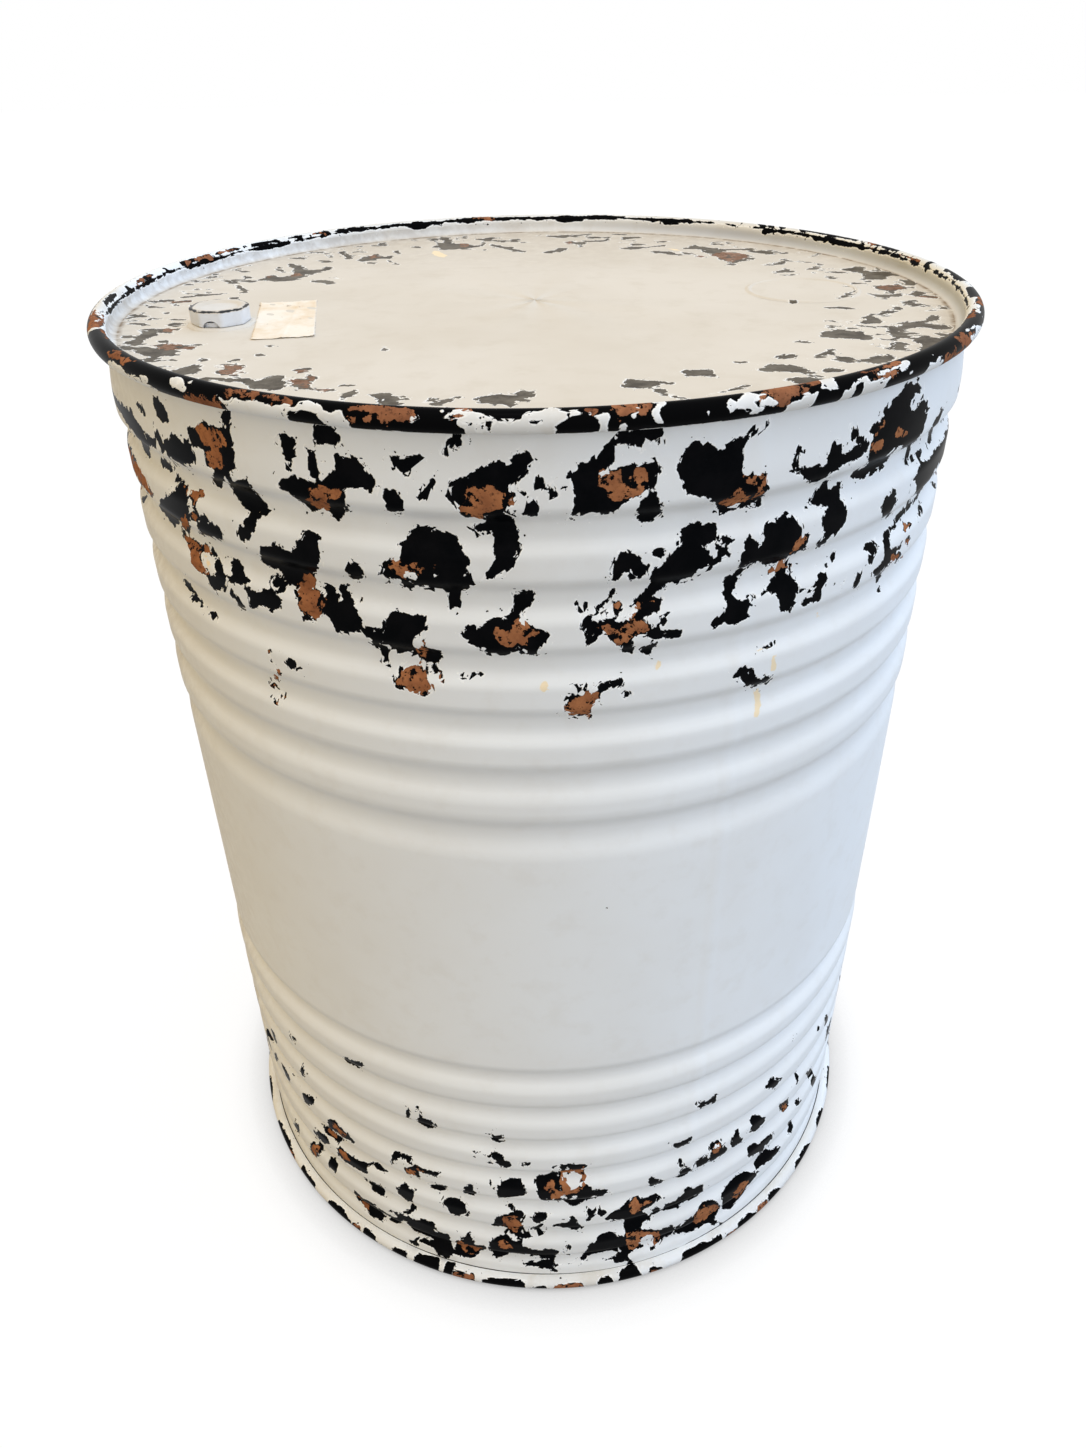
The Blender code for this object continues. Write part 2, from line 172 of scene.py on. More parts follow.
# Chips on the upper wall: outlines as (azimuth in degrees, height in mm)
UPPER_CHIPS = [
    [(-68, 706), (-60, 707), (-57, 710), (-54.6, 704), (-52.6, 699), (-52, 690), (-53.5, 685),
     (-57, 693), (-62, 698), (-68, 699)],
    [(-49.4, 709), (-48.7, 708), (-47.8, 698), (-48.7, 695), (-49.5, 700)],
    [(-53, 701), (-50.2, 700.5), (-50, 697), (-52.5, 694.5)],
    [(-47.8, 727), (-45.9, 727.5), (-45.2, 722), (-45.3, 717), (-46.8, 713.5), (-48.2, 716.5)],
    [(-53.8, 717), (-52.3, 718.5), (-51.8, 714), (-53, 713)],
    [(-47.4, 701), (-46.3, 705), (-45.5, 710), (-44.3, 711), (-42.5, 708), (-41.2, 703),
     (-41.5, 697), (-43.5, 694.3), (-46, 694), (-47.5, 696)],
    [(-41.4, 717), (-39.9, 718), (-38.6, 722), (-36.4, 721), (-35.2, 724), (-35, 731), (-33.4, 734),
     (-33.6, 731), (-34.5, 722), (-34.1, 712), (-34.2, 702), (-35, 699), (-36.4, 697), (-37.2, 689),
     (-38.3, 690), (-38.2, 697), (-39.4, 698), (-39.2, 707), (-40.2, 709), (-41.1, 710)],
    [(-49, 691), (-47, 692), (-46.3, 690), (-47.3, 687.3), (-49, 687.3)],
    [(-53.5, 656), (-52, 661), (-50, 666), (-48, 673), (-46.6, 678), (-45.6, 681), (-45.4, 685.5),
     (-44.6, 684), (-44.5, 678), (-45, 670), (-45, 662), (-46.3, 659), (-47.5, 655), (-49, 652),
     (-50.6, 651), (-52.5, 654)],
    [(-44, 656), (-43.8, 660), (-42.5, 663), (-41.5, 666.5), (-41, 662), (-39.5, 663.5),
     (-38.8, 661), (-39.2, 656), (-41.5, 655), (-43, 653)],
    [(-41.6, 649), (-40.9, 647), (-40.2, 639), (-39.6, 630), (-40.3, 624), (-41.8, 617.5),
     (-43.4, 622), (-43.3, 627), (-41.5, 631), (-41.3, 640)],
    [(-36, 695), (-34.6, 694), (-32.8, 696.5), (-32.4, 692), (-31, 687.5), (-30, 686), (-30.3, 683),
     (-32, 679), (-33.4, 681), (-35, 688)],
    [(-35.9, 661), (-35.3, 667), (-33.8, 673), (-33, 677), (-32, 681), (-32.3, 672), (-33.2, 667),
     (-34.2, 664), (-34.8, 659.3)],
    [(-32.8, 657), (-31, 659), (-30, 663.5), (-28.5, 661), (-27, 666), (-26, 670), (-25.5, 674.5),
     (-24.3, 673), (-24.1, 665), (-24.6, 656), (-25.3, 650), (-26, 645), (-28, 638), (-29, 643),
     (-30, 649), (-31.5, 650), (-32.5, 653)],
    [(-31.7, 642), (-30.6, 645), (-29.6, 641), (-30.4, 635), (-31.6, 636)],
    [(-38.5, 645.5), (-36.7, 645), (-36, 640), (-35.3, 636), (-36.6, 631), (-38, 630),
     (-38.2, 638)],
    [(-40, 633), (-38, 632.5), (-38, 631), (-39.8, 631.5)],
    [(-36.3, 630), (-34.8, 629), (-33, 632), (-31, 629.5), (-31, 623.5), (-32.5, 620.5),
     (-34, 622.5), (-36.1, 618.5), (-35.8, 624)],
    [(-38.9, 624.7), (-37.6, 620), (-37.2, 616), (-38, 616), (-39.2, 622)],
    [(-50, 614.5), (-48.5, 612.5), (-47, 606.5), (-45.8, 604), (-47, 599.6), (-48.8, 606),
     (-50, 611)],
    [(-44.8, 601), (-43.5, 601.5), (-43.7, 597.5), (-44.8, 597)],
    [(-49.8, 601), (-49, 601), (-49.4, 597.5)],
    [(-31.9, 588), (-31, 592.3), (-29.8, 591.8), (-29.5, 587), (-31, 583)],
    [(-27.7, 722), (-26.4, 725.7), (-25.2, 724), (-25.9, 719), (-25.8, 708.5), (-26.7, 708.5),
     (-26.7, 719)],
    [(-24, 721.8), (-23.4, 720.5), (-23.2, 714), (-22.6, 710), (-23.2, 704.5), (-24, 706),
     (-23.8, 714)],
    [(-22.8, 728), (-22.5, 733.5), (-20.8, 733), (-19.9, 728), (-20.6, 724), (-22.7, 724)],
    [(-28, 699), (-26.5, 703), (-25, 704.5), (-23.3, 701), (-22, 706), (-20.6, 711), (-20.5, 719.5),
     (-19, 718.5), (-17.3, 713), (-16.6, 708), (-17.2, 702), (-18.6, 704), (-20, 703), (-20.3, 698),
     (-20.2, 691), (-21.2, 685.5), (-23, 689), (-24.5, 687), (-25.3, 692), (-27, 696)],
    [(-15.7, 705), (-14.3, 705), (-13.7, 699), (-13.9, 694), (-15.2, 693), (-16.2, 699)],
    [(-15, 721), (-13.5, 720), (-11.5, 722), (-12.5, 717), (-13.2, 712.5), (-14.2, 716)],
    [(-10.5, 710.5), (-11, 704), (-12, 699), (-12, 703)],
    [(-8.7, 732), (-7.6, 732), (-7.8, 727), (-9, 723)],
    [(-8.9, 702), (-8.6, 708), (-7.5, 711), (-6.2, 714), (-4.6, 719), (-2.7, 721), (-1.4, 724.5),
     (-0.7, 722), (-1.2, 716), (-2.2, 711), (-3.2, 707), (-3.4, 700), (-4.7, 697), (-6.3, 693),
     (-8, 697)],
    [(-2.7, 706), (-1.6, 704), (-2, 702), (-2.8, 702)],
    [(-1.8, 697), (-0.2, 700.5), (0, 693.5), (-1.5, 695)],
    [(-5.2, 696), (-3.8, 696), (-2.5, 692), (-2, 684), (-2.2, 674), (-3, 667), (-4.2, 660),
     (-6.1, 658), (-5.4, 664), (-4.8, 668), (-4.4, 674), (-4.3, 684), (-5.4, 685), (-6.3, 683),
     (-6.9, 687.5), (-5.4, 690)],
    [(-16.3, 663), (-14.7, 668), (-14.5, 675), (-13.5, 678.5), (-12.6, 683.5), (-10.5, 684.5),
     (-8.7, 681), (-8.2, 675), (-7.2, 668), (-7.6, 661), (-6.8, 657), (-8.4, 651), (-10.3, 651),
     (-12.6, 653), (-13.9, 650), (-15.5, 655), (-17, 654)],
    [(-20.9, 656), (-20.4, 661.5), (-19.1, 659), (-19.1, 654), (-20.2, 651.3)],
    [(-24.3, 646), (-22.7, 645), (-22.6, 636), (-22.2, 636), (-22, 646.5), (-21.3, 646.5),
     (-21, 641), (-20, 640), (-21.2, 636), (-20.4, 630), (-20.1, 619), (-23, 618), (-23.7, 624),
     (-24.5, 630), (-23.8, 637)],
    [(-20.2, 620), (-17.5, 623), (-17, 631), (-15.5, 636), (-12.2, 635.5), (-12.6, 627),
     (-14, 620), (-14.4, 612), (-16.5, 610.5), (-18.7, 612), (-19.2, 616)],
    [(-14.2, 614), (-12.4, 615), (-11, 614), (-11.5, 607), (-13.2, 608)],
    [(-9.4, 650), (-8.6, 650), (-8.6, 641), (-9.6, 640)],
    [(-2.8, 652), (-1, 651.5), (-1.2, 645), (-2.6, 637), (-3.5, 634), (-2.6, 642)],
    [(-8.5, 625), (-7.6, 630), (-6.7, 629), (-5.8, 634), (-4, 635.5), (-2.5, 636.5), (-1.9, 633),
     (-0.6, 628), (0.3, 622), (-0.3, 615.5), (-1, 614), (-2.5, 618.5), (-4, 616), (-5.6, 613.5),
     (-7, 620)],
    [(-9.6, 599), (-8, 600), (-6.7, 601), (-6.8, 599), (-8.6, 596.5)],
    [(2.8, 690), (3.4, 697), (3.3, 705), (3, 712), (4.3, 718.5), (5.7, 720), (6.5, 727), (8, 733),
     (9.7, 733.5), (8.8, 729), (7.4, 726.5), (7.2, 719), (6.2, 714), (6.4, 711), (7.5, 713),
     (9.3, 716), (11.6, 717.5), (12, 711), (11, 705), (9.3, 700), (8, 697.5), (7.5, 693.5),
     (5.5, 694), (4, 693.5)],
    [(9.5, 734.5), (11.8, 734.5), (12.1, 726), (11.3, 727), (11, 733), (10.3, 731), (10, 723.5),
     (9.4, 728)],
    [(9.9, 689), (10.3, 696), (11.3, 700.3), (12.4, 698), (12.4, 691), (11.2, 686.5)],
    [(13.9, 713), (14.5, 721), (15.6, 725.5), (17.2, 722), (18.5, 719.3), (20, 722), (21.3, 724),
     (22.4, 729), (23.5, 729.5), (22.6, 726), (21, 721), (21.2, 712), (21.5, 703), (22.6, 702),
     (24.4, 701), (24.4, 696), (23.6, 692), (23.6, 687), (22, 688.5), (20.8, 690), (19.5, 687),
     (18.2, 688), (18, 694), (17, 697), (15.5, 700), (14.8, 706)],
    [(27.2, 702), (27.6, 708), (28, 714.5), (28.3, 710), (28.2, 703.5), (29.5, 700.5), (31, 701.5),
     (33, 702), (35, 703.5), (37, 705), (38.7, 705.5), (38.9, 702), (37.5, 698.5), (35, 697.5),
     (33, 695.5), (31, 693), (29.8, 694), (28.5, 699)],
    [(31.1, 705.5), (32.3, 706), (32.6, 710.5), (33.9, 709.5), (34, 704), (32.5, 703.5)],
    [(35.2, 719), (36.1, 714), (36.4, 710.5), (35.7, 710.5), (35.2, 715)],
    [(36.7, 709), (38, 708.5), (38.6, 705.5), (37.2, 706)],
    [(38.3, 712), (40, 716), (41.5, 722), (43.5, 726), (45, 731), (47, 729.5), (48.3, 725),
     (49, 719), (48, 721), (46.8, 722.5), (46, 718), (47, 714), (49, 714), (50.8, 713), (50.8, 708),
     (52.2, 706), (51.6, 701), (50, 694), (47.6, 692), (45, 696), (43.5, 694), (41.5, 687.5),
     (38.3, 686.5), (36.6, 689.5), (38.8, 692), (39.3, 697), (39.3, 705), (39.4, 709)],
    [(47, 694), (48, 694), (48.2, 686), (49.5, 684), (51, 684), (52.5, 687), (51.4, 682), (49, 681),
     (47, 684.5)],
    [(52, 691), (54.5, 695), (56.8, 700), (58.6, 701), (57, 695), (54.5, 691.5)],
    [(53.3, 684), (54, 690), (55, 688), (54.2, 683)],
    [(7.3, 651), (7.4, 660), (7.9, 671), (8.6, 672.5), (9.8, 668), (11.3, 662), (10.8, 655.5),
     (9.8, 656.5), (9.4, 661.5), (8.5, 660), (7.8, 655)],
    [(11.2, 670), (12.6, 671.5), (13.6, 667), (14.5, 672), (14.6, 679), (16.3, 682.5), (18.5, 681),
     (18.6, 675), (18.9, 671), (17.3, 670), (18, 664), (18.9, 660), (18.3, 656), (16.8, 656),
     (16, 650), (14.4, 651), (13.3, 650), (12.4, 644.5), (10.7, 645), (11.6, 652), (11.8, 658),
     (13, 664)],
    [(18.6, 667.5), (19.6, 668), (20.4, 661), (19, 658.5)],
    [(20.4, 647), (22, 653.5), (22.4, 660), (22.3, 667), (22.9, 671), (24, 665), (24.4, 659),
     (24.6, 655), (23, 654.5), (21.5, 649)],
    [(24.3, 662), (24.8, 676), (26, 676), (27, 678.5), (28.4, 674), (29.6, 667), (29.8, 660),
     (30.4, 658), (29, 655), (27.5, 651), (25, 650.5), (24.3, 657)],
    [(29.9, 680), (31, 685), (32, 691), (33, 686.5), (34.6, 686.5), (35, 680), (36.2, 675),
     (36.2, 668), (36, 662), (35, 658), (33.4, 653), (32.4, 654), (33.6, 658), (33.2, 664),
     (33, 671), (33.4, 677), (32.3, 677), (31.3, 679.5)],
    [(43.3, 661), (44.5, 666), (45.4, 669.5), (46.5, 664), (47.2, 661), (45.8, 656), (44.2, 654),
     (44, 659)],
    [(50.6, 668), (52.5, 669), (52.2, 675.5), (53.8, 673), (56, 671), (58, 674.5), (63, 673),
     (68, 668), (68, 660), (61, 658), (57, 655), (53.3, 655), (52.5, 659), (52, 665)],
    [(47.1, 651), (49, 652.5), (51, 655), (53.5, 655), (51, 651.5), (48.6, 648), (47.8, 643),
     (47, 643), (47.1, 648)],
    [(45, 645), (46, 644.5), (46.7, 640), (47.1, 634), (48.1, 628.5), (49.5, 627.5), (51, 629),
     (51.4, 624), (49, 622), (48.3, 619.5), (46.5, 617), (45.3, 612.5), (45, 617), (44, 620),
     (46, 622.5), (46.4, 628), (46, 636), (45.3, 641)],
    [(41, 642.5), (42.6, 642), (43.3, 637), (44, 633), (43.3, 628), (42.6, 633), (42, 638.5),
     (41, 638.5)],
    [(41, 629.5), (41.5, 628), (41.1, 620), (40.8, 613.5), (40.3, 617), (40.6, 625)],
    [(54.7, 646), (56.5, 640), (57.8, 633.5), (56, 635), (55, 641)],
    [(4.7, 636), (6, 632.5), (6.7, 626), (5.6, 624), (5, 619.5), (4.6, 628)],
    [(6, 632), (7.5, 630), (8.5, 626), (9.4, 633), (10.5, 640), (12.6, 643.5), (12.7, 637),
     (11, 632), (12, 626), (11.6, 622), (10, 621), (9.8, 612.5), (9, 613.5), (8.8, 618),
     (7.5, 621), (6.8, 626)],
    [(7.6, 650.5), (7.4, 645), (6.2, 638.5), (5.9, 640), (7, 646)],
    [(9.9, 640), (11, 646.5), (12.4, 645), (12.9, 641), (12.4, 635.5)],
    [(11.5, 622), (13, 623), (15.4, 621), (15.3, 618.7), (12.5, 619.5)],
    [(13, 631.5), (13.9, 632.5), (13.8, 628), (13, 627)],
    [(10.9, 612.5), (12.5, 615.5), (12.4, 611.5), (11.7, 608.5)],
    [(20.3, 647.5), (21, 643), (21.2, 636.5), (22, 634.3), (23.5, 634), (23.9, 630), (23.4, 626),
     (23.9, 620), (22, 619.5), (20.8, 621.5), (19.4, 619.5), (19.5, 625), (20.6, 625), (20.4, 633)],
    [(25.8, 636), (26.3, 641), (27.2, 646.5), (28.4, 645.5), (29, 640), (30.1, 633), (30.1, 624),
     (29.3, 619), (28.2, 621), (28, 628), (27.3, 634), (26.6, 635)],
    [(31.2, 620.5), (32.9, 623), (33.3, 627), (32, 626.5), (31.1, 629), (33, 630.5), (33.3, 635),
     (34.6, 641), (35.2, 646.5), (36.3, 645.5), (35.3, 641), (34.1, 636), (34.5, 630.5),
     (35.2, 628.5), (34, 625), (34, 619.5), (32.8, 619)],
    [(3.9, 644), (4.7, 643), (4.3, 639)],
    [(3.4, 594), (4.6, 593.7), (4, 589.5)],
    [(5.8, 590), (6.5, 594.3), (8.5, 594.5), (7.6, 590), (6.5, 588)],
    [(9.1, 586.5), (9.8, 585.2), (9.3, 584)],
    [(22.4, 585), (23.2, 588.8), (25, 587.7), (25.4, 583), (26.2, 579.5), (27.8, 577.5),
     (27.3, 574), (25.5, 574.5), (24.6, 576.5), (23.8, 580), (23.4, 584.5)],
    [(0, 713), (0.5, 712), (0.5, 705), (0, 706)],
    [(36.8, 624), (38.3, 625), (38.3, 622.5), (37, 622.5)],
    [(25.5, 600), (27.5, 600), (27.5, 598.3), (25.5, 598.3)],
    [(1.2, 709), (1.7, 704), (1.1, 703)],
    [(46, 605), (46.8, 604.5), (46.6, 603)],
    [(-17.5, 612), (-16.9, 612), (-17.4, 601), (-17.9, 603)],
]

# Rust on the upper wall. It shows inside a chip and also where it broke out by itself.
UPPER_RUST = [
    [(-68, 672), (-60, 671), (-57.5, 668), (-57, 663), (-55.5, 660), (-56.4, 656), (-60, 657),
     (-68, 660)],
    [(-39.9, 718), (-38.6, 722.5), (-36.4, 722), (-35.2, 717), (-35.4, 712.5), (-37.2, 711.5),
     (-39.3, 712.5)],
    [(-38.8, 706), (-37.6, 710), (-36.2, 708.5), (-35.6, 702), (-36.5, 700), (-38.5, 698)],
    [(-47.6, 657), (-46, 662), (-45.4, 657), (-46, 650.5), (-47.4, 652)],
    [(-44.7, 681.5), (-42, 681), (-40, 682), (-41.5, 679), (-43.3, 674), (-44.4, 676)],
    [(-44.6, 662), (-43.7, 668), (-43, 666), (-43.6, 659)],
    [(-47.5, 648), (-44.5, 647), (-41.9, 647.5), (-41.6, 644.8), (-43.8, 643.5), (-44.1, 639),
     (-44.8, 634), (-43.8, 629), (-42.8, 628), (-44.8, 626), (-47.5, 629), (-46.9, 637)],
    [(-28, 641), (-26.6, 644), (-25, 640.5), (-24.2, 634), (-25, 627), (-26, 622.5), (-27.5, 622.5),
     (-28.5, 628), (-28.2, 636)],
    [(-26.9, 648.5), (-25.4, 648), (-25.4, 643.5), (-26.7, 644)],
    [(-24.8, 700), (-22.6, 701.5), (-20.5, 700.5), (-20.5, 695), (-22.3, 696), (-22, 689.5),
     (-24, 687.7), (-24.9, 692)],
    [(-8, 701), (-6.8, 706.5), (-5, 706), (-3.4, 704), (-3.6, 698), (-6, 691.5), (-8, 696)],
    [(-3.2, 702), (-2.7, 704), (-2.4, 698), (-3, 698)],
    [(-16.3, 663), (-14.8, 666.5), (-13, 664), (-11, 666.5), (-10.6, 661), (-12.5, 660),
     (-14, 655), (-15.8, 658)],
    [(-16.1, 597), (-15.4, 604.5), (-13.3, 605), (-12.9, 598), (-12.2, 592), (-12.6, 586),
     (-14.6, 584.5), (-15.9, 590)],
    [(-11.8, 607), (-10.8, 600), (-10.9, 594), (-11.8, 596)],
    [(-16.6, 591.5), (-15.7, 591.5), (-15.9, 589), (-16.6, 589.8)],
    [(-14, 612), (-12.7, 620), (-12.6, 608), (-13.4, 605)],
    [(-5, 625), (-4.6, 628.5), (-3.2, 628.5), (-2.3, 633.5), (-1.5, 630), (0, 628), (0.7, 625),
     (-1, 623), (-2, 620), (-4.2, 620)],
    [(6, 707), (6.3, 713), (8, 714.5), (8.4, 709), (10.5, 706), (10, 701), (8.3, 699), (7, 701)],
    [(9.3, 711), (9.7, 715.5), (11.3, 714), (11.5, 710), (10, 708)],
    [(21.5, 703.5), (22.7, 704.5), (24.3, 702), (24.4, 696), (23.6, 691), (23.2, 698), (22, 699)],
    [(18.4, 690.5), (20.5, 695), (22.7, 692.5), (21.5, 690), (19.5, 689.5)],
    [(39.3, 704), (41.6, 705), (41.5, 699), (39.5, 698.5)],
    [(40.1, 713), (41.4, 714.5), (41.2, 709), (39.7, 708)],
    [(42.8, 704), (45, 704.5), (46.7, 700.5), (44.5, 701)],
    [(28.5, 655.5), (29, 662), (30.7, 662), (30.5, 655)],
    [(25.2, 646.5), (27, 650.3), (29.4, 645.5), (27.5, 646.5)],
    [(48.5, 624), (50.5, 622.5), (51.8, 617.5), (49.5, 619), (48.2, 620.5)],
    [(50.4, 639.5), (51.5, 638), (53.2, 635.5), (51.5, 634)],
    [(51.9, 626), (54, 625), (53.6, 621), (52, 623)],
    [(6, 631), (7.2, 632.5), (8.6, 629), (9.4, 634), (10.2, 638.5), (11.3, 641), (12.6, 643.5),
     (10.5, 642.5), (9.6, 632), (9.6, 624), (9.2, 617), (8, 617), (8.3, 624), (7, 625.5)],
    [(10.2, 630.5), (11.6, 628), (11.8, 623.5), (10.3, 623.5)],
    [(7.9, 643), (8.5, 640), (8.2, 636), (7.8, 639)],
    [(2.3, 577.5), (2.7, 584), (3.2, 587.8), (4.8, 588.3), (6.3, 588.3), (6.1, 582), (5.4, 578),
     (5.3, 573), (3.5, 574)],
    [(25.6, 634.5), (26.8, 635.5), (26.4, 632.5)],
    [(19.8, 671), (20.7, 670.5), (20.2, 668.5)],
    [(-34.3, 594), (-33.7, 594), (-33.9, 590), (-34.4, 590)],
    [(-34.1, 586), (-33.5, 585), (-33.7, 583), (-34.3, 584)],
    [(-33.5, 582), (-32.7, 580.5), (-33, 578.5), (-33.6, 580)],
    [(-34.2, 576), (-33.2, 574.5), (-33.5, 573), (-34.2, 574)],
    [(-34.9, 568.5), (-34, 569), (-33.9, 566), (-34.8, 566)],
    [(-33.8, 567), (-32.9, 564), (-33.4, 562.5)],
    [(-34.6, 558), (-34, 558.5), (-34, 554), (-34.5, 555)],
]

# Paint left standing inside the upper chips
UPPER_ISLANDS = [
    [(-44.3, 643), (-41.8, 643.5), (-41.4, 634), (-43, 630.5), (-44.3, 633)],
    [(-14.4, 658), (-13.5, 659.5), (-12.7, 656), (-13.7, 654.5)],
    [(-11.8, 658.5), (-10.9, 659), (-10.8, 655), (-11.8, 654.5)],
    [(-8, 661.5), (-7.4, 662), (-7.5, 658), (-8.1, 658)],
    [(-18.2, 618.5), (-17.3, 619), (-17.2, 613.5), (-18, 614)],
    [(5.8, 714.5), (6.2, 714.5), (6.1, 709.5), (5.7, 710)],
    [(24.2, 585.7), (24.9, 585.7), (24.8, 584), (24.2, 584)],
    [(-40.6, 706), (-39.6, 707), (-39.4, 699.5), (-40.6, 700.5)],
]

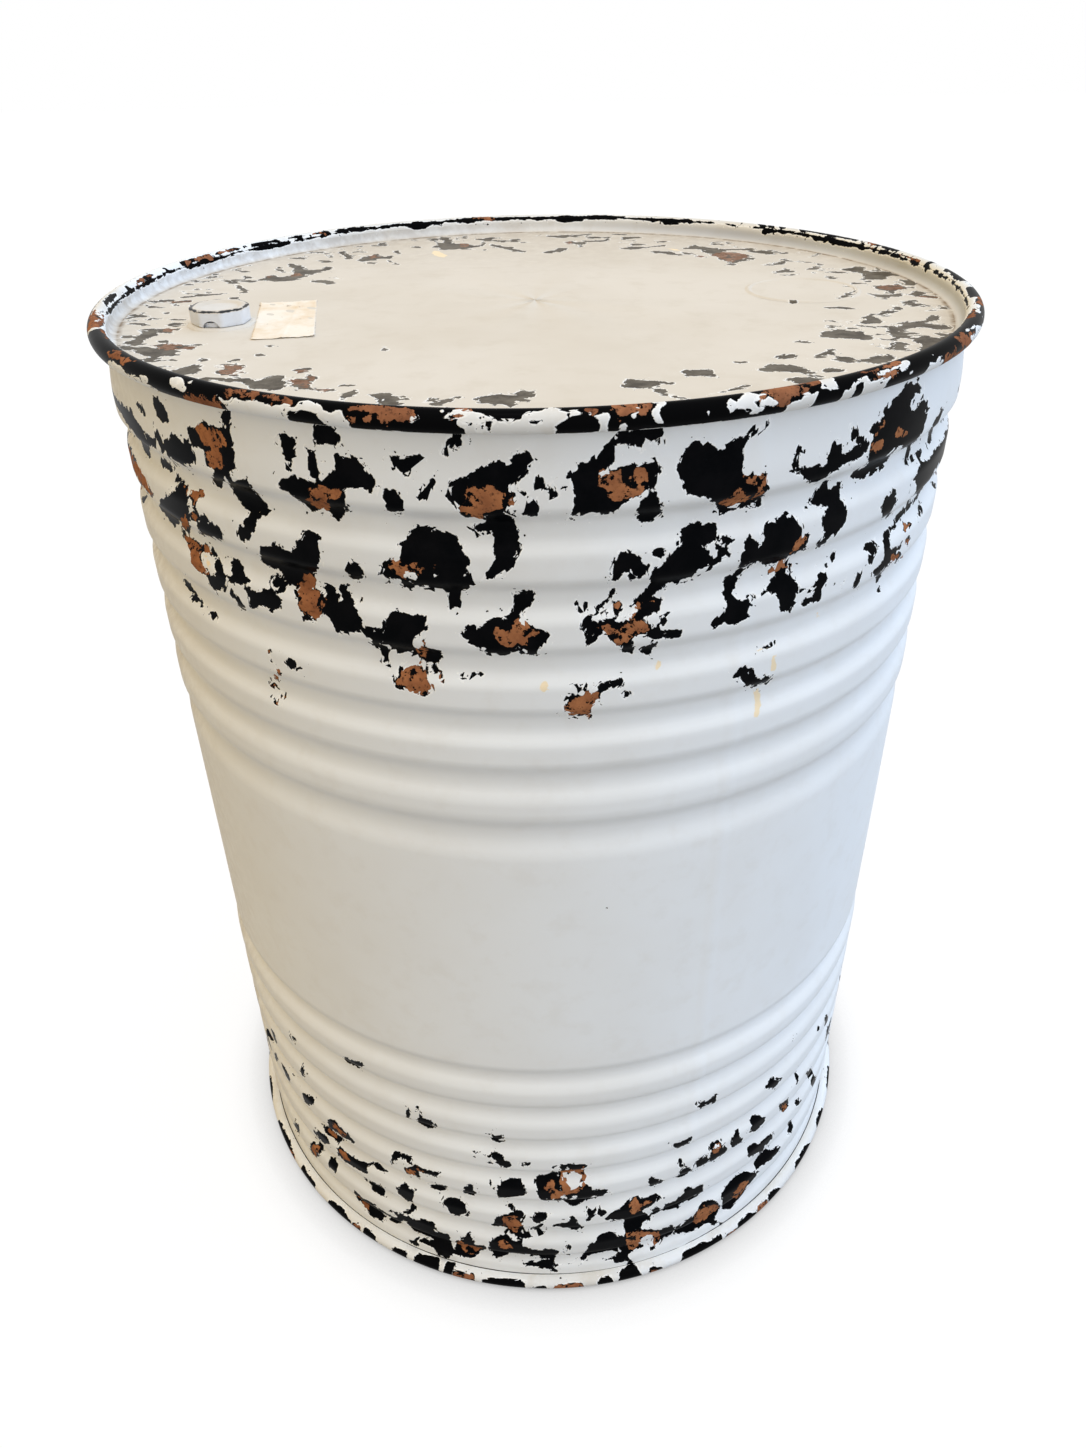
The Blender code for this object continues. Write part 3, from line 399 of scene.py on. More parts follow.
# Chips on the lower wall
LOWER_CHIPS = [
    [(-33.9, 233.5), (-31.5, 237), (-30, 240.5), (-29.8, 236), (-30.5, 232.5), (-32.5, 230)],
    [(-22.5, 208.5), (-22, 201), (-22.8, 194.5), (-22.7, 200)],
    [(-21, 211), (-20.5, 212), (-20.9, 206.5)],
    [(-21.5, 195), (-20.6, 202.3), (-18.2, 199.5), (-17.9, 196), (-18.6, 191), (-20.3, 192.5)],
    [(-9.1, 198.3), (-7.2, 198), (-7.3, 192), (-8.4, 190.3)],
    [(-9, 179), (-8.4, 174.5), (-7.4, 173), (-7.7, 166.5), (-9.1, 168.5)],
    [(-7.2, 165), (-6.4, 163), (-6.6, 157), (-7.3, 159)],
    [(-12.5, 171), (-12, 173.5), (-11.9, 168)],
    [(-10.4, 171), (-9.8, 172), (-9.8, 168.5)],
    [(-8.5, 165), (-7.8, 166), (-7.9, 161)],
    [(-9.9, 164), (-9.4, 164.5), (-9.5, 161.5)],
    [(-4.8, 164), (-3.5, 165.2), (-3.6, 162.5)],
    [(23.1, 205), (24.2, 203.3), (25.5, 201), (26.2, 205), (26.9, 204), (26.7, 195.5), (24.3, 196)],
    [(18.9, 163.7), (20.5, 162), (22.9, 163.5), (23, 158), (20.3, 157)],
    [(-26.9, 124), (-26.8, 136), (-26.2, 142), (-24.2, 145.5), (-22.8, 145.5), (-22.7, 136),
     (-23.5, 131), (-23.9, 139), (-25.5, 139), (-26.4, 131)],
    [(-24.6, 125), (-22.4, 127.5), (-21.8, 120), (-23.8, 119)],
    [(-22.5, 131), (-18, 135.5), (-17.8, 133.5), (-22, 128.5)],
    [(-8.3, 118), (-8.2, 138), (-7.6, 144.5), (-4.9, 143.5), (-4.6, 134), (-3.8, 128),
     (-4.5, 122), (-7.5, 119.5)],
    [(-10, 138), (-9.6, 140), (-9.4, 129)],
    [(-14.2, 118), (-13.6, 124), (-12.6, 130), (-12.7, 122), (-12, 120), (-12.4, 116)],
    [(-2.5, 149), (-1, 151), (0.3, 154), (1.7, 146), (1.2, 138), (1.7, 127), (1.5, 118),
     (-1.4, 118), (-2.1, 127), (-2.6, 138)],
    [(1.8, 117), (3.2, 126), (4.8, 135), (5.8, 137), (6.6, 127), (8.3, 125.5), (9.8, 119),
     (7, 119), (5, 116.5), (4.8, 109.5), (3.4, 107.5), (2.4, 113)],
    [(0.5, 161), (2.2, 162), (5.8, 160), (5.8, 158.5), (2, 158)],
    [(16, 127.5), (17.5, 123.5), (18.3, 118.5), (16.2, 117.5)],
    [(16.2, 137.5), (17, 136.5), (17, 133), (16.3, 134)],
    [(21.1, 141), (21.8, 127.5), (23.7, 116.5), (22, 114.5), (20.7, 118.5), (21.5, 125)],
    [(26.8, 145.5), (28.5, 143.5), (29.5, 134), (30.1, 122), (29, 117.5), (27, 117.5),
     (27.6, 126), (27, 135)],
    [(-26.7, 84), (-26.4, 94), (-25, 97), (-25.2, 108), (-24.4, 99), (-22.7, 103), (-23.7, 92),
     (-24.1, 84), (-25, 79.5)],
    [(-24.5, 81), (-23.3, 73.5), (-24.3, 63.5), (-26.4, 55), (-27, 58), (-24.8, 65), (-24.2, 74)],
    [(-18.3, 95), (-17.5, 103), (-15.6, 106), (-14.2, 104), (-14, 97), (-13.9, 86), (-15.5, 83.5),
     (-17, 81.5)],
    [(-7.1, 113), (-6.5, 112), (-5.9, 103), (-6.6, 104)],
    [(-9.7, 79.5), (-8.6, 92.5), (-7, 97), (-5.2, 102.5), (-4.4, 99.5), (-5, 92), (-5, 86),
     (-4.9, 80), (-4.5, 76), (-6.2, 69), (-7, 75), (-8, 78)],
    [(-3, 98), (-2, 102), (-0.2, 99.5), (-1, 93), (-2.4, 86.5), (-3, 90)],
    [(-6.7, 73), (-5, 69.5), (-4, 73), (-1.5, 75), (-1.5, 72.5), (-3.7, 66), (-4.5, 60.5),
     (-5.8, 62.5), (-6.6, 68)],
    [(-3.4, 78), (-2.3, 83), (-1.5, 86), (-1.6, 82), (-2.6, 78)],
    [(0.6, 82), (2, 84.5), (3.5, 84), (4.7, 78), (4.2, 75.5), (2, 79)],
    [(3.3, 95), (3.7, 84), (3.2, 84)],
    [(5.4, 106.5), (6.6, 99.5), (7.5, 107), (7, 97), (5.9, 86), (5.9, 92), (6.3, 98)],
    [(7.7, 101.5), (8.7, 94), (8.2, 90.5), (7.5, 96)],
    [(8.6, 84), (10, 92.5), (11.5, 94), (12, 100), (13, 107), (14.2, 108), (14.6, 100), (16, 103.5),
     (17.5, 103), (18.1, 95), (16.5, 90), (15.3, 85), (16, 78), (16.7, 69.5), (15.2, 69.5),
     (14.6, 64), (13, 60), (12, 66), (11.5, 72), (12, 79.5), (10.5, 80.5)],
    [(16.6, 83), (18, 84.5), (18.6, 80), (17.2, 76.5)],
    [(18.9, 77.5), (19.2, 88), (20, 84), (21.2, 82), (22.5, 91), (22.7, 99), (24, 93), (26, 91),
     (26.4, 80), (24, 78.5), (22, 76), (20, 76.5)],
    [(-30, 42), (-28, 45), (-27, 54), (-24, 55.5), (-21.5, 60), (-20.4, 61), (-20.2, 50),
     (-18, 48.5), (-17.6, 40), (-17.9, 27), (-17.9, 13), (-20, 13), (-20.7, 22), (-20, 33),
     (-21, 38), (-24, 38), (-26, 47), (-28, 37), (-30, 34)],
    [(-24, 27), (-21, 31), (-20, 25), (-22.5, 22)],
    [(-18, 26.5), (-16, 27), (-16, 24.5), (-18, 24.5)],
    [(-26, 18), (-24.2, 23), (-23.6, 19), (-24.5, 12.5)],
    [(-17.9, 38.5), (-15.7, 44), (-15.1, 53), (-14, 59.5), (-13.4, 50), (-13.8, 43.5),
     (-11.4, 43.5), (-13, 32), (-13.6, 23), (-15.6, 22), (-15.9, 32)],
    [(-10.6, 40), (-10.1, 55), (-9.4, 63), (-7.3, 69), (-6.5, 60), (-5.2, 53.5), (-3.6, 47.5),
     (-1, 48.5), (0, 50), (1.4, 47), (1.2, 40.5), (-1, 37.5), (-3.5, 39.5), (-7, 41), (-8.7, 36),
     (-7.6, 29.5), (-9.6, 32)],
    [(-5.4, 23.5), (-3.8, 30.5), (-0.6, 32.5), (-0.3, 41), (0.3, 40), (0.2, 29.5), (4, 27.5),
     (4.6, 32.5), (5.8, 36.5), (4.9, 26.5), (0.2, 26), (0, 22), (0.8, 16.5), (0.4, 14.5),
     (-1.5, 20.5), (-3, 23.5)],
    [(2.2, 43), (2.5, 57), (2.9, 52), (2.7, 41)],
    [(5.2, 36), (6, 47.5), (7, 54.5), (7.6, 63), (9.3, 64.5), (10.5, 62.5), (11.6, 52), (11.4, 40),
     (10.2, 39), (8, 38)],
    [(8.3, 27.5), (10.3, 26.5), (12.6, 27), (12.9, 20), (12, 17.5), (10.4, 20.5)],
    [(12.2, 21), (13, 21), (14.2, 9), (13.4, 8)],
    [(12, 58), (13.4, 60), (14.4, 60), (16.5, 55), (18.4, 50), (20.2, 49), (21.8, 37.5),
     (20.5, 34), (19, 40), (18.6, 30), (17.2, 20), (16.8, 31), (14, 31), (12.4, 30), (10.8, 37.5),
     (11.6, 46)],
    [(20.9, 38), (22.5, 45.5), (24.5, 47.5), (25.5, 53), (26.5, 64), (28.5, 57.5), (30, 51),
     (31, 42), (30, 34), (28, 30), (25, 26.5), (23, 31)],
    [(28.4, 32), (30.4, 22), (31.6, 12), (30, 17), (28, 28)],
    [(31, 39), (30.8, 58), (32, 68), (33.5, 76), (36, 70), (38, 58), (40, 50), (37, 44),
     (35, 33), (33, 28), (31.6, 32)],
    [(37.6, 77), (39.6, 79), (42, 71), (44.5, 62), (46.3, 54), (44.6, 50), (41, 56), (38.6, 62)],
    [(47.4, 84), (48.4, 84), (49.4, 70), (50.6, 56), (49, 58), (47.8, 70)],
    [(35, 147), (36.6, 143), (38.4, 134), (39.6, 123), (37, 121), (35.2, 127), (35.8, 136)],
    [(31.6, 141), (32.6, 145), (32.8, 128), (34.2, 120), (32, 121), (31.4, 130)],
    [(35.4, 108), (37.4, 103), (38.4, 96), (41.8, 95), (42.8, 86), (40, 83), (37, 86), (35.8, 96)],
    [(37.4, 178), (39.5, 181), (40, 174), (42.2, 166), (41, 161), (38.6, 170)],
    [(43.5, 211), (44.3, 211), (44.8, 204), (44.2, 205)],
    [(46.6, 155), (47.4, 154), (48.8, 132), (47.6, 136)],
    [(52.6, 183), (53.6, 182), (55.4, 171), (54, 173)],
    [(48.6, 105), (49.6, 104), (51.4, 90), (50, 93)],
    [(-48.4, 206), (-46.8, 209.5), (-46, 206), (-47.6, 200)],
    [(-47.4, 163), (-46.4, 176), (-45.4, 183), (-45.4, 170), (-46.6, 161)],
    [(-55.6, 132), (-54, 136.5), (-52.8, 131), (-53.4, 122), (-55.2, 124)],
    [(-48.6, 130), (-46, 138), (-43.6, 147), (-43.8, 137), (-46, 126), (-48.4, 122)],
    [(-41.6, 126), (-39.8, 137), (-38.6, 133), (-36.8, 131), (-35, 124), (-38, 119), (-40.4, 120)],
    [(-40.3, 84), (-39.8, 98), (-38.8, 104), (-37.4, 99), (-35.2, 98), (-33.6, 104), (-32.6, 101),
     (-33.2, 88), (-36, 85), (-38, 83)],
    [(-46.8, 85), (-45, 96), (-42.6, 99), (-42.4, 91), (-44.4, 83)],
    [(-50.6, 40), (-49.6, 55), (-47.2, 68), (-44.6, 78), (-44.6, 68), (-46.8, 52), (-48.6, 38)],
    [(-43.8, 50), (-42.8, 68), (-40.8, 73), (-41.2, 60), (-42.2, 49)],
    [(-37.2, 46), (-35, 43), (-32.4, 45), (-30.6, 42), (-30, 34), (-31.6, 27), (-33.6, 22),
     (-35, 31), (-36.6, 36)],
    [(-57.6, 36), (-56, 50), (-53.8, 64), (-53.8, 52), (-55.6, 34)],
    [(-60.6, 120), (-58.6, 136), (-57.6, 132), (-59.6, 116)],
    [(8.1, 440.5), (8.7, 440.5), (8.6, 438.5), (8.2, 438.7)],
    [(-58, 168), (-56.6, 171), (-56, 160), (-57.2, 158)],
    [(-62, 150), (-60, 156), (-58.6, 146), (-60.4, 140)],
    [(-52, 152), (-49.6, 156), (-48.6, 148), (-50.6, 144)],
    [(-44, 116), (-40.6, 118), (-38.4, 110), (-41.6, 106)],
    [(-34, 78), (-30.4, 82), (-28.6, 72), (-31.4, 66)],
    [(57, 176), (58.6, 170), (60, 152), (58.4, 158)],
    [(61, 140), (63, 134), (64.4, 116), (62, 122)],
    [(52, 128), (54, 124), (56, 108), (53.4, 110)],
    [(56, 96), (58.4, 92), (60, 74), (57.6, 76)],
    [(43, 128), (45.4, 124), (46.4, 110), (44, 112)],
    [(24, 126), (26, 130), (26.8, 120), (25, 116)],
    [(-31.6, 112), (-29.4, 116), (-28.4, 108), (-30.2, 104)],
    [(-20.4, 116), (-17.6, 119), (-16.8, 112), (-19.4, 110)],
]

LOWER_RUST = [
    [(-0.9, 138), (0.6, 143), (1.1, 130), (1.7, 121), (0, 119), (-0.7, 130)],
    [(-8.5, 92), (-6, 94), (-5.2, 82), (-6, 73), (-7.6, 80)],
    [(13, 104), (14, 109), (14.1, 97), (15, 93), (14, 83), (13, 87), (12.5, 97)],
    [(15.2, 98), (16.6, 97), (16, 91), (15, 92)],
    [(12.2, 62), (13.2, 62), (14, 58), (16, 53), (17.5, 49), (19, 41), (17.7, 29), (16.2, 32),
     (15.8, 41), (14.6, 33), (12.8, 36), (12.2, 47)],
    [(-9.3, 58), (-7.6, 61), (-6.9, 50), (-8, 44), (-9, 50)],
    [(-17.4, 39), (-15.8, 43.5), (-14.6, 42), (-12, 42), (-13.6, 34), (-14.6, 28), (-15.6, 36)],
    [(25.2, 50), (26.8, 59), (29, 53), (30.3, 42), (27, 34), (25.2, 40)],
    [(33, 46), (34.6, 56), (37.2, 50), (35.6, 38), (34, 38)],
    [(27.2, 130), (28.4, 138), (29.2, 126), (28.4, 120)],
    [(-24.4, 124), (-22.6, 126.5), (-22.2, 120.5), (-23.6, 119.5)],
    [(-40.6, 124), (-39, 131), (-36, 127), (-38, 121)],
    [(-39.6, 93), (-38, 98), (-36.8, 90), (-38.6, 85)],
    [(-49.6, 46), (-48, 60), (-45.6, 70), (-46.8, 56), (-48.6, 42)],
    [(-36.2, 40), (-34, 41), (-32.6, 36), (-34.6, 30)],
    [(8.1, 426.3), (8.7, 426.3), (8.6, 423.5), (8.2, 423.7)],
    [(-29, 50), (-27.6, 55), (-27.4, 47)],
    [(1.4, 157), (4.6, 158), (5.6, 146), (5, 129), (2.4, 122), (1.2, 138)],
    [(-24.6, 134), (-21.4, 133), (-18.2, 130), (-18.6, 127), (-22, 130)],
    [(-41.6, 112), (-39, 114), (-38.8, 108)],
    [(44, 124), (45.6, 122), (45.8, 113), (44.4, 114)],
    [(-60.6, 152), (-59.2, 150), (-59.6, 143), (-60.8, 145)],
]

LOWER_ISLANDS = [
    [(2, 153), (4.2, 154), (5.2, 146), (4.6, 134), (3, 130), (2.2, 142)],
    [(14.8, 43), (15.6, 47), (17.2, 46), (17.4, 36), (16, 33), (15, 37)],
    [(2.3, 121), (3.8, 124), (4.4, 118), (3, 117)],
    [(27.4, 140), (28.2, 138), (28.6, 131), (27.8, 133)],
]

# Chips on the head's panel: outlines as (x, y) in mm, seen from above
PANEL_CHIPS = [
    [(-95, 252), (-88, 256), (-86, 248), (-82, 236), (-79, 226), (-80, 240), (-83, 252),
     (-84, 262), (-78, 260), (-73, 262), (-73, 250), (-72, 238), (-70, 226), (-64, 224),
     (-58, 226), (-55, 219), (-50, 216), (-47, 211), (-52, 206), (-58, 204), (-62, 202),
     (-70, 202), (-76, 198), (-80, 202), (-81, 210), (-88, 212), (-86, 220), (-82, 222),
     (-86, 234), (-90, 244)],
    [(-68, 260), (-66, 250), (-65, 242), (-68, 246)],
    [(-62, 268), (-60, 256), (-61, 250), (-63, 258)],
    [(-53, 258), (-50, 250), (-44, 246), (-41, 248), (-37, 243), (-30, 240), (-22, 240),
     (-14, 244), (-12, 236), (-15, 230), (-22, 232), (-28, 230), (-36, 235), (-42, 236),
     (-46, 242), (-50, 246)],
    [(-37, 222), (-34, 216), (-28, 212), (-22, 206), (-18, 204), (-20, 198), (-12, 192),
     (-8, 184), (-10, 180), (-16, 184), (-22, 190), (-26, 198), (-32, 204), (-36, 212)],
    [(-44, 232), (-43, 222), (-45, 214), (-46, 222)],
    [(-42, 198), (-41, 192), (-43, 190)],
    [(-168, 198), (-163, 202), (-161, 206), (-159, 198), (-158, 190), (-154, 182), (-150, 176),
     (-150, 168), (-154, 166), (-158, 174), (-161, 184), (-164, 192)],
    [(-146, 162), (-143, 172), (-138, 176), (-134, 180), (-132, 186), (-130, 178), (-127, 178),
     (-126, 172), (-122, 170), (-120, 176), (-117, 178), (-118, 168), (-117, 160), (-122, 164),
     (-127, 164), (-130, 158), (-135, 160), (-140, 154), (-143, 160)],
    [(-118, 158), (-113, 148), (-108, 138), (-110, 136), (-116, 148), (-120, 158)],
    [(-119, 198), (-116, 190), (-112, 184), (-113, 192), (-116, 200)],
    [(-136, 148), (-130, 143), (-126, 144), (-130, 150), (-134, 152)],
    [(-138, 226), (-134, 238), (-130, 240), (-131, 232), (-134, 224)],
    [(-200, 152), (-195, 152), (-190, 144), (-184, 134), (-182, 128), (-178, 122), (-174, 120),
     (-168, 126), (-165, 134), (-162, 132), (-161, 122), (-166, 114), (-170, 112), (-172, 104),
     (-177, 106), (-176, 96), (-180, 90), (-186, 84), (-192, 80), (-200, 84), (-204, 90),
     (-202, 96), (-206, 100), (-200, 104), (-196, 98), (-190, 102), (-188, 112), (-190, 122),
     (-194, 134), (-198, 144)],
    [(-203, 140), (-200, 128), (-197, 118), (-200, 120), (-205, 130)],
    [(-240, 92), (-234, 86), (-228, 84), (-222, 90), (-216, 96), (-220, 102), (-225, 102),
     (-222, 94), (-228, 88), (-236, 88)],
    [(-232, 84), (-226, 72), (-220, 64), (-216, 54), (-212, 44), (-210, 44), (-211, 52),
     (-216, 62), (-220, 70), (-226, 82)],
    [(-222, 90), (-212, 86), (-208, 92), (-206, 88), (-212, 82), (-222, 82), (-230, 80)],
    [(-168, 84), (-162, 86), (-158, 82), (-152, 78), (-149, 72), (-154, 68), (-158, 74),
     (-166, 78)],
    [(-154, 94), (-150, 92), (-148, 88), (-152, 86)],
    [(-258, 54), (-253, 46), (-246, 44), (-240, 42), (-233, 42), (-224, 44), (-222, 42),
     (-228, 38), (-236, 36), (-242, 38), (-250, 42), (-256, 44)],
    [(-264, 20), (-256, 17), (-248, 19), (-242, 18), (-243, 14), (-250, 15), (-262, 16)],
    [(-238, 8), (-232, 6), (-228, 10), (-222, 14), (-218, 10), (-220, 2), (-226, -2),
     (-234, -2), (-238, 2)],
    [(-218, 28), (-214, 32), (-211, 26), (-210, 20), (-213, 20), (-216, 24)],
    [(-254, 14), (-250, 8), (-246, 4), (-250, 4), (-255, 10)],
    [(12, 264), (16, 258), (24, 260), (34, 260), (40, 262), (50, 264), (51, 258), (42, 256),
     (36, 254), (30, 250), (26, 246), (20, 250), (12, 252)],
    [(35, 258), (38, 258), (38, 246), (36, 248)],
    [(46, 254), (48, 244), (54, 248), (60, 246), (68, 246), (66, 238), (60, 240), (52, 240),
     (47, 240)],
    [(44, 230), (52, 230), (60, 232), (64, 240), (66, 236), (64, 226), (58, 222), (50, 222),
     (44, 222)],
    [(24, 230), (28, 226), (32, 228), (34, 220), (38, 222), (42, 228), (46, 230), (44, 218),
     (42, 208), (40, 198), (36, 200), (37, 210), (34, 214), (28, 218)],
    [(76, 244), (84, 246), (92, 246), (94, 240), (88, 236), (78, 234)],
    [(8, 178), (12, 184), (18, 190), (22, 196), (27, 196), (24, 186), (20, 180), (14, 176)],
    [(71, 202), (76, 196), (84, 198), (90, 198), (96, 196), (102, 200), (108, 206), (111, 204),
     (108, 198), (100, 194), (94, 190), (88, 186), (80, 184), (75, 188), (73, 194)],
    [(106, 226), (109, 224), (110, 216), (107, 214)],
    [(84, 214), (87, 210), (85, 204), (83, 208)],
    [(96, 180), (102, 176), (108, 176), (114, 172), (116, 164), (122, 158), (118, 154),
     (112, 160), (106, 164), (100, 168), (97, 174)],
    [(120, 172), (126, 168), (130, 166), (126, 160), (122, 164)],
    [(125, 186), (130, 194), (136, 200), (138, 192), (144, 192), (148, 188), (155, 186),
     (154, 178), (157, 172), (154, 166), (150, 160), (146, 156), (142, 162), (140, 172),
     (142, 180), (134, 182), (128, 182)],
    [(156, 134), (160, 140), (166, 138), (172, 146), (176, 152), (174, 134), (166, 130),
     (160, 124), (158, 118), (156, 112), (150, 112), (152, 118), (156, 124)],
    [(158, 180), (166, 180), (174, 182), (176, 178), (168, 176), (160, 176)],
    [(174, 176), (180, 176), (184, 170), (188, 172), (194, 164), (196, 156), (190, 156),
     (184, 160), (178, 166), (175, 172)],
    [(150, 204), (152, 210), (156, 208), (158, 202), (154, 198)],
    [(158, 204), (161, 200), (161, 194), (158, 196)],
    [(166, 196), (170, 186), (166, 186)],
    [(178, 116), (186, 118), (190, 122), (196, 130), (199, 134), (198, 124), (196, 116),
     (188, 112), (180, 110)],
    [(220, 140), (224, 146), (230, 154), (234, 158), (230, 148), (226, 142)],
    [(200, 130), (203, 128), (202, 120)],
    [(210, 126), (208, 120), (206, 122)],
    [(182, 86), (188, 92), (192, 98), (196, 86), (192, 82), (182, 80)],
    [(208, 90), (214, 98), (220, 104), (222, 112), (221, 104), (216, 94)],
    [(218, 84), (226, 82), (232, 78), (236, 72), (238, 82), (234, 90), (240, 92), (246, 98),
     (252, 96), (251, 86), (248, 80), (254, 78), (258, 84), (262, 94), (264, 90), (260, 80),
     (264, 78), (266, 74), (268, 62), (262, 58), (256, 50), (252, 48), (246, 52), (240, 46),
     (238, 50), (242, 60), (246, 66), (244, 76), (236, 78), (228, 74), (220, 78)],
    [(264, 50), (270, 46), (276, 50), (275, 38), (270, 28), (266, 32), (264, 40)],
    [(240, 26), (246, 24), (254, 24), (260, 32), (262, 26), (270, 24), (266, 18), (258, 14),
     (252, 8), (250, 0), (244, 4), (246, 12), (240, 16)],
    [(268, 10), (262, 4), (258, -2), (264, -4), (270, 2)],
    [(212, -2), (216, 6), (222, 12), (226, 24), (228, 26), (224, 12), (220, 2), (216, -4)],
    [(210, 0), (218, 2), (222, 4), (216, -6), (208, -10), (206, -4)],
    [(232, 4), (240, 0), (252, -2), (250, -8), (244, -8), (238, -14), (234, -6)],
    [(246, -18), (252, -22), (258, -20), (256, -28), (252, -34), (248, -30), (245, -24)],
    [(262, -4), (268, -6), (276, -10), (272, -18), (268, -12), (262, -10)],
    [(173, -21), (174, -14), (176, -12), (175, -19)],
    [(240, -35), (242, -44), (236, -48), (228, -56), (222, -57), (228, -50), (234, -44)],
    [(252, -52), (260, -46), (270, -42), (274, -38), (270, -46), (260, -50)],
    [(205, -78), (210, -72), (210, -64), (214, -60), (218, -62), (220, -72), (216, -80),
     (208, -80)],
    [(180, -90), (182, -84), (188, -84), (194, -78), (190, -86), (184, -90)],
    [(240, -82), (244, -74), (250, -70), (254, -64), (258, -62), (256, -70), (252, -78),
     (246, -80)],
    [(202, -86), (210, -88), (218, -84), (224, -90), (230, -80), (238, -78), (246, -84),
     (256, -86), (256, -96), (248, -98), (244, -94), (236, -92), (226, -96), (220, -92),
     (208, -90)],
    [(172, -104), (176, -98), (184, -98), (190, -96), (200, -100), (198, -106), (203, -110),
     (200, -120), (192, -120), (182, -116), (174, -112)],
    [(203, -110), (212, -106), (216, -112), (212, -120), (222, -116), (226, -112), (236, -108),
     (234, -104), (226, -102), (218, -102), (214, -106), (206, -106)],
    [(225, -124), (230, -118), (236, -114), (240, -118), (248, -112), (252, -104), (255, -108),
     (252, -122), (244, -132), (236, -140), (228, -146), (222, -148), (220, -144),
     (226, -136)],
    [(203, -142), (208, -138), (210, -130), (214, -126), (218, -128), (220, -134), (216, -140),
     (222, -144), (212, -146), (206, -144)],
    [(134, -156), (138, -152), (144, -150), (148, -148), (150, -154), (146, -158), (138, -160)],
    [(158, -158), (162, -152), (168, -148), (172, -140), (171, -150), (164, -154)],
    [(158, -158), (166, -160), (176, -160), (182, -164), (190, -160), (196, -156), (204, -158),
     (208, -158), (202, -164), (196, -170), (190, -176), (186, -170), (176, -166),
     (164, -162)],
    [(122, -180), (126, -172), (132, -168), (140, -168), (146, -174), (150, -184), (156, -184),
     (162, -178), (168, -178), (169, -186), (162, -186), (154, -188), (146, -190), (138, -184),
     (128, -184)],
    [(80, -184), (83, -178), (96, -178), (97, -186), (98, -192), (88, -192), (82, -190)],
    [(46, -206), (48, -200), (50, -194), (56, -195), (60, -197), (68, -199), (73, -204),
     (66, -206), (60, -211), (54, -213), (48, -209)],
    [(62, -212), (68, -216), (66, -224), (63, -218)],
    [(70, -226), (76, -232), (72, -232)],
    [(135, -200), (140, -196), (148, -198), (155, -202), (152, -208), (146, -206),
     (138, -208)],
    [(90, -224), (98, -218), (108, -210), (112, -208), (108, -214), (98, -220)],
    [(-254, -62), (-250, -66), (-246, -64), (-243, -70), (-240, -76), (-243, -82), (-244, -90),
     (-241, -98), (-246, -102), (-250, -99), (-256, -103), (-252, -92), (-252, -82),
     (-250, -74), (-254, -68)],
    [(-257, -104), (-250, -102), (-244, -106), (-236, -106), (-230, -110), (-222, -112),
     (-214, -116), (-216, -124), (-222, -130), (-222, -136), (-226, -138), (-230, -130),
     (-235, -126), (-238, -118), (-246, -112), (-254, -108)],
    [(-268, -44), (-262, -44), (-254, -46), (-252, -52), (-258, -50), (-262, -48)],
    [(-252, -62), (-248, -60), (-240, -60), (-230, -62), (-231, -66), (-240, -66), (-248, -66)],
    [(-236, -92), (-230, -88), (-227, -96), (-232, -96)],
    [(-240, -44), (-233, -46), (-230, -52), (-236, -54), (-240, -50)],
    [(-262, -34), (-256, -30), (-246, -34), (-232, -36), (-228, -32), (-232, -38),
     (-246, -38), (-258, -34)],
    [(-256, -10), (-250, -18), (-249, -20), (-254, -14)],
    [(-208, -166), (-204, -156), (-200, -150), (-196, -146), (-192, -148), (-194, -156),
     (-190, -160), (-193, -168), (-200, -170)],
    [(-194, -172), (-186, -176), (-176, -176), (-168, -178), (-160, -178), (-154, -184),
     (-150, -182), (-147, -176), (-142, -174), (-140, -180), (-138, -188), (-136, -196),
     (-134, -202), (-140, -204), (-146, -200), (-154, -198), (-156, -192), (-162, -186),
     (-170, -184), (-180, -180), (-190, -178)],
    [(-198, -134), (-192, -138), (-190, -142), (-194, -144)],
    [(-178, -140), (-174, -138), (-174, -144)],
    [(-102, -208), (-98, -206), (-96, -210), (-98, -216), (-101, -224), (-103, -218)],
    [(-88, -212), (-84, -209), (-78, -211), (-76, -216), (-70, -218), (-68, -224), (-74, -228),
     (-80, -230), (-82, -222), (-87, -216)],
    [(-34, -224), (-30, -222), (-26, -217), (-20, -216), (-12, -218), (-8, -212), (-4, -214),
     (0, -214), (-2, -219), (-4, -224), (-8, -226), (-12, -230), (-10, -236), (-14, -240),
     (-18, -236), (-24, -232), (-30, -230)],
    [(-54, -232), (-48, -226), (-42, -222), (-46, -230), (-50, -234)],
    [(-92, -116), (-90, -117), (-89, -125), (-91, -124)],
]

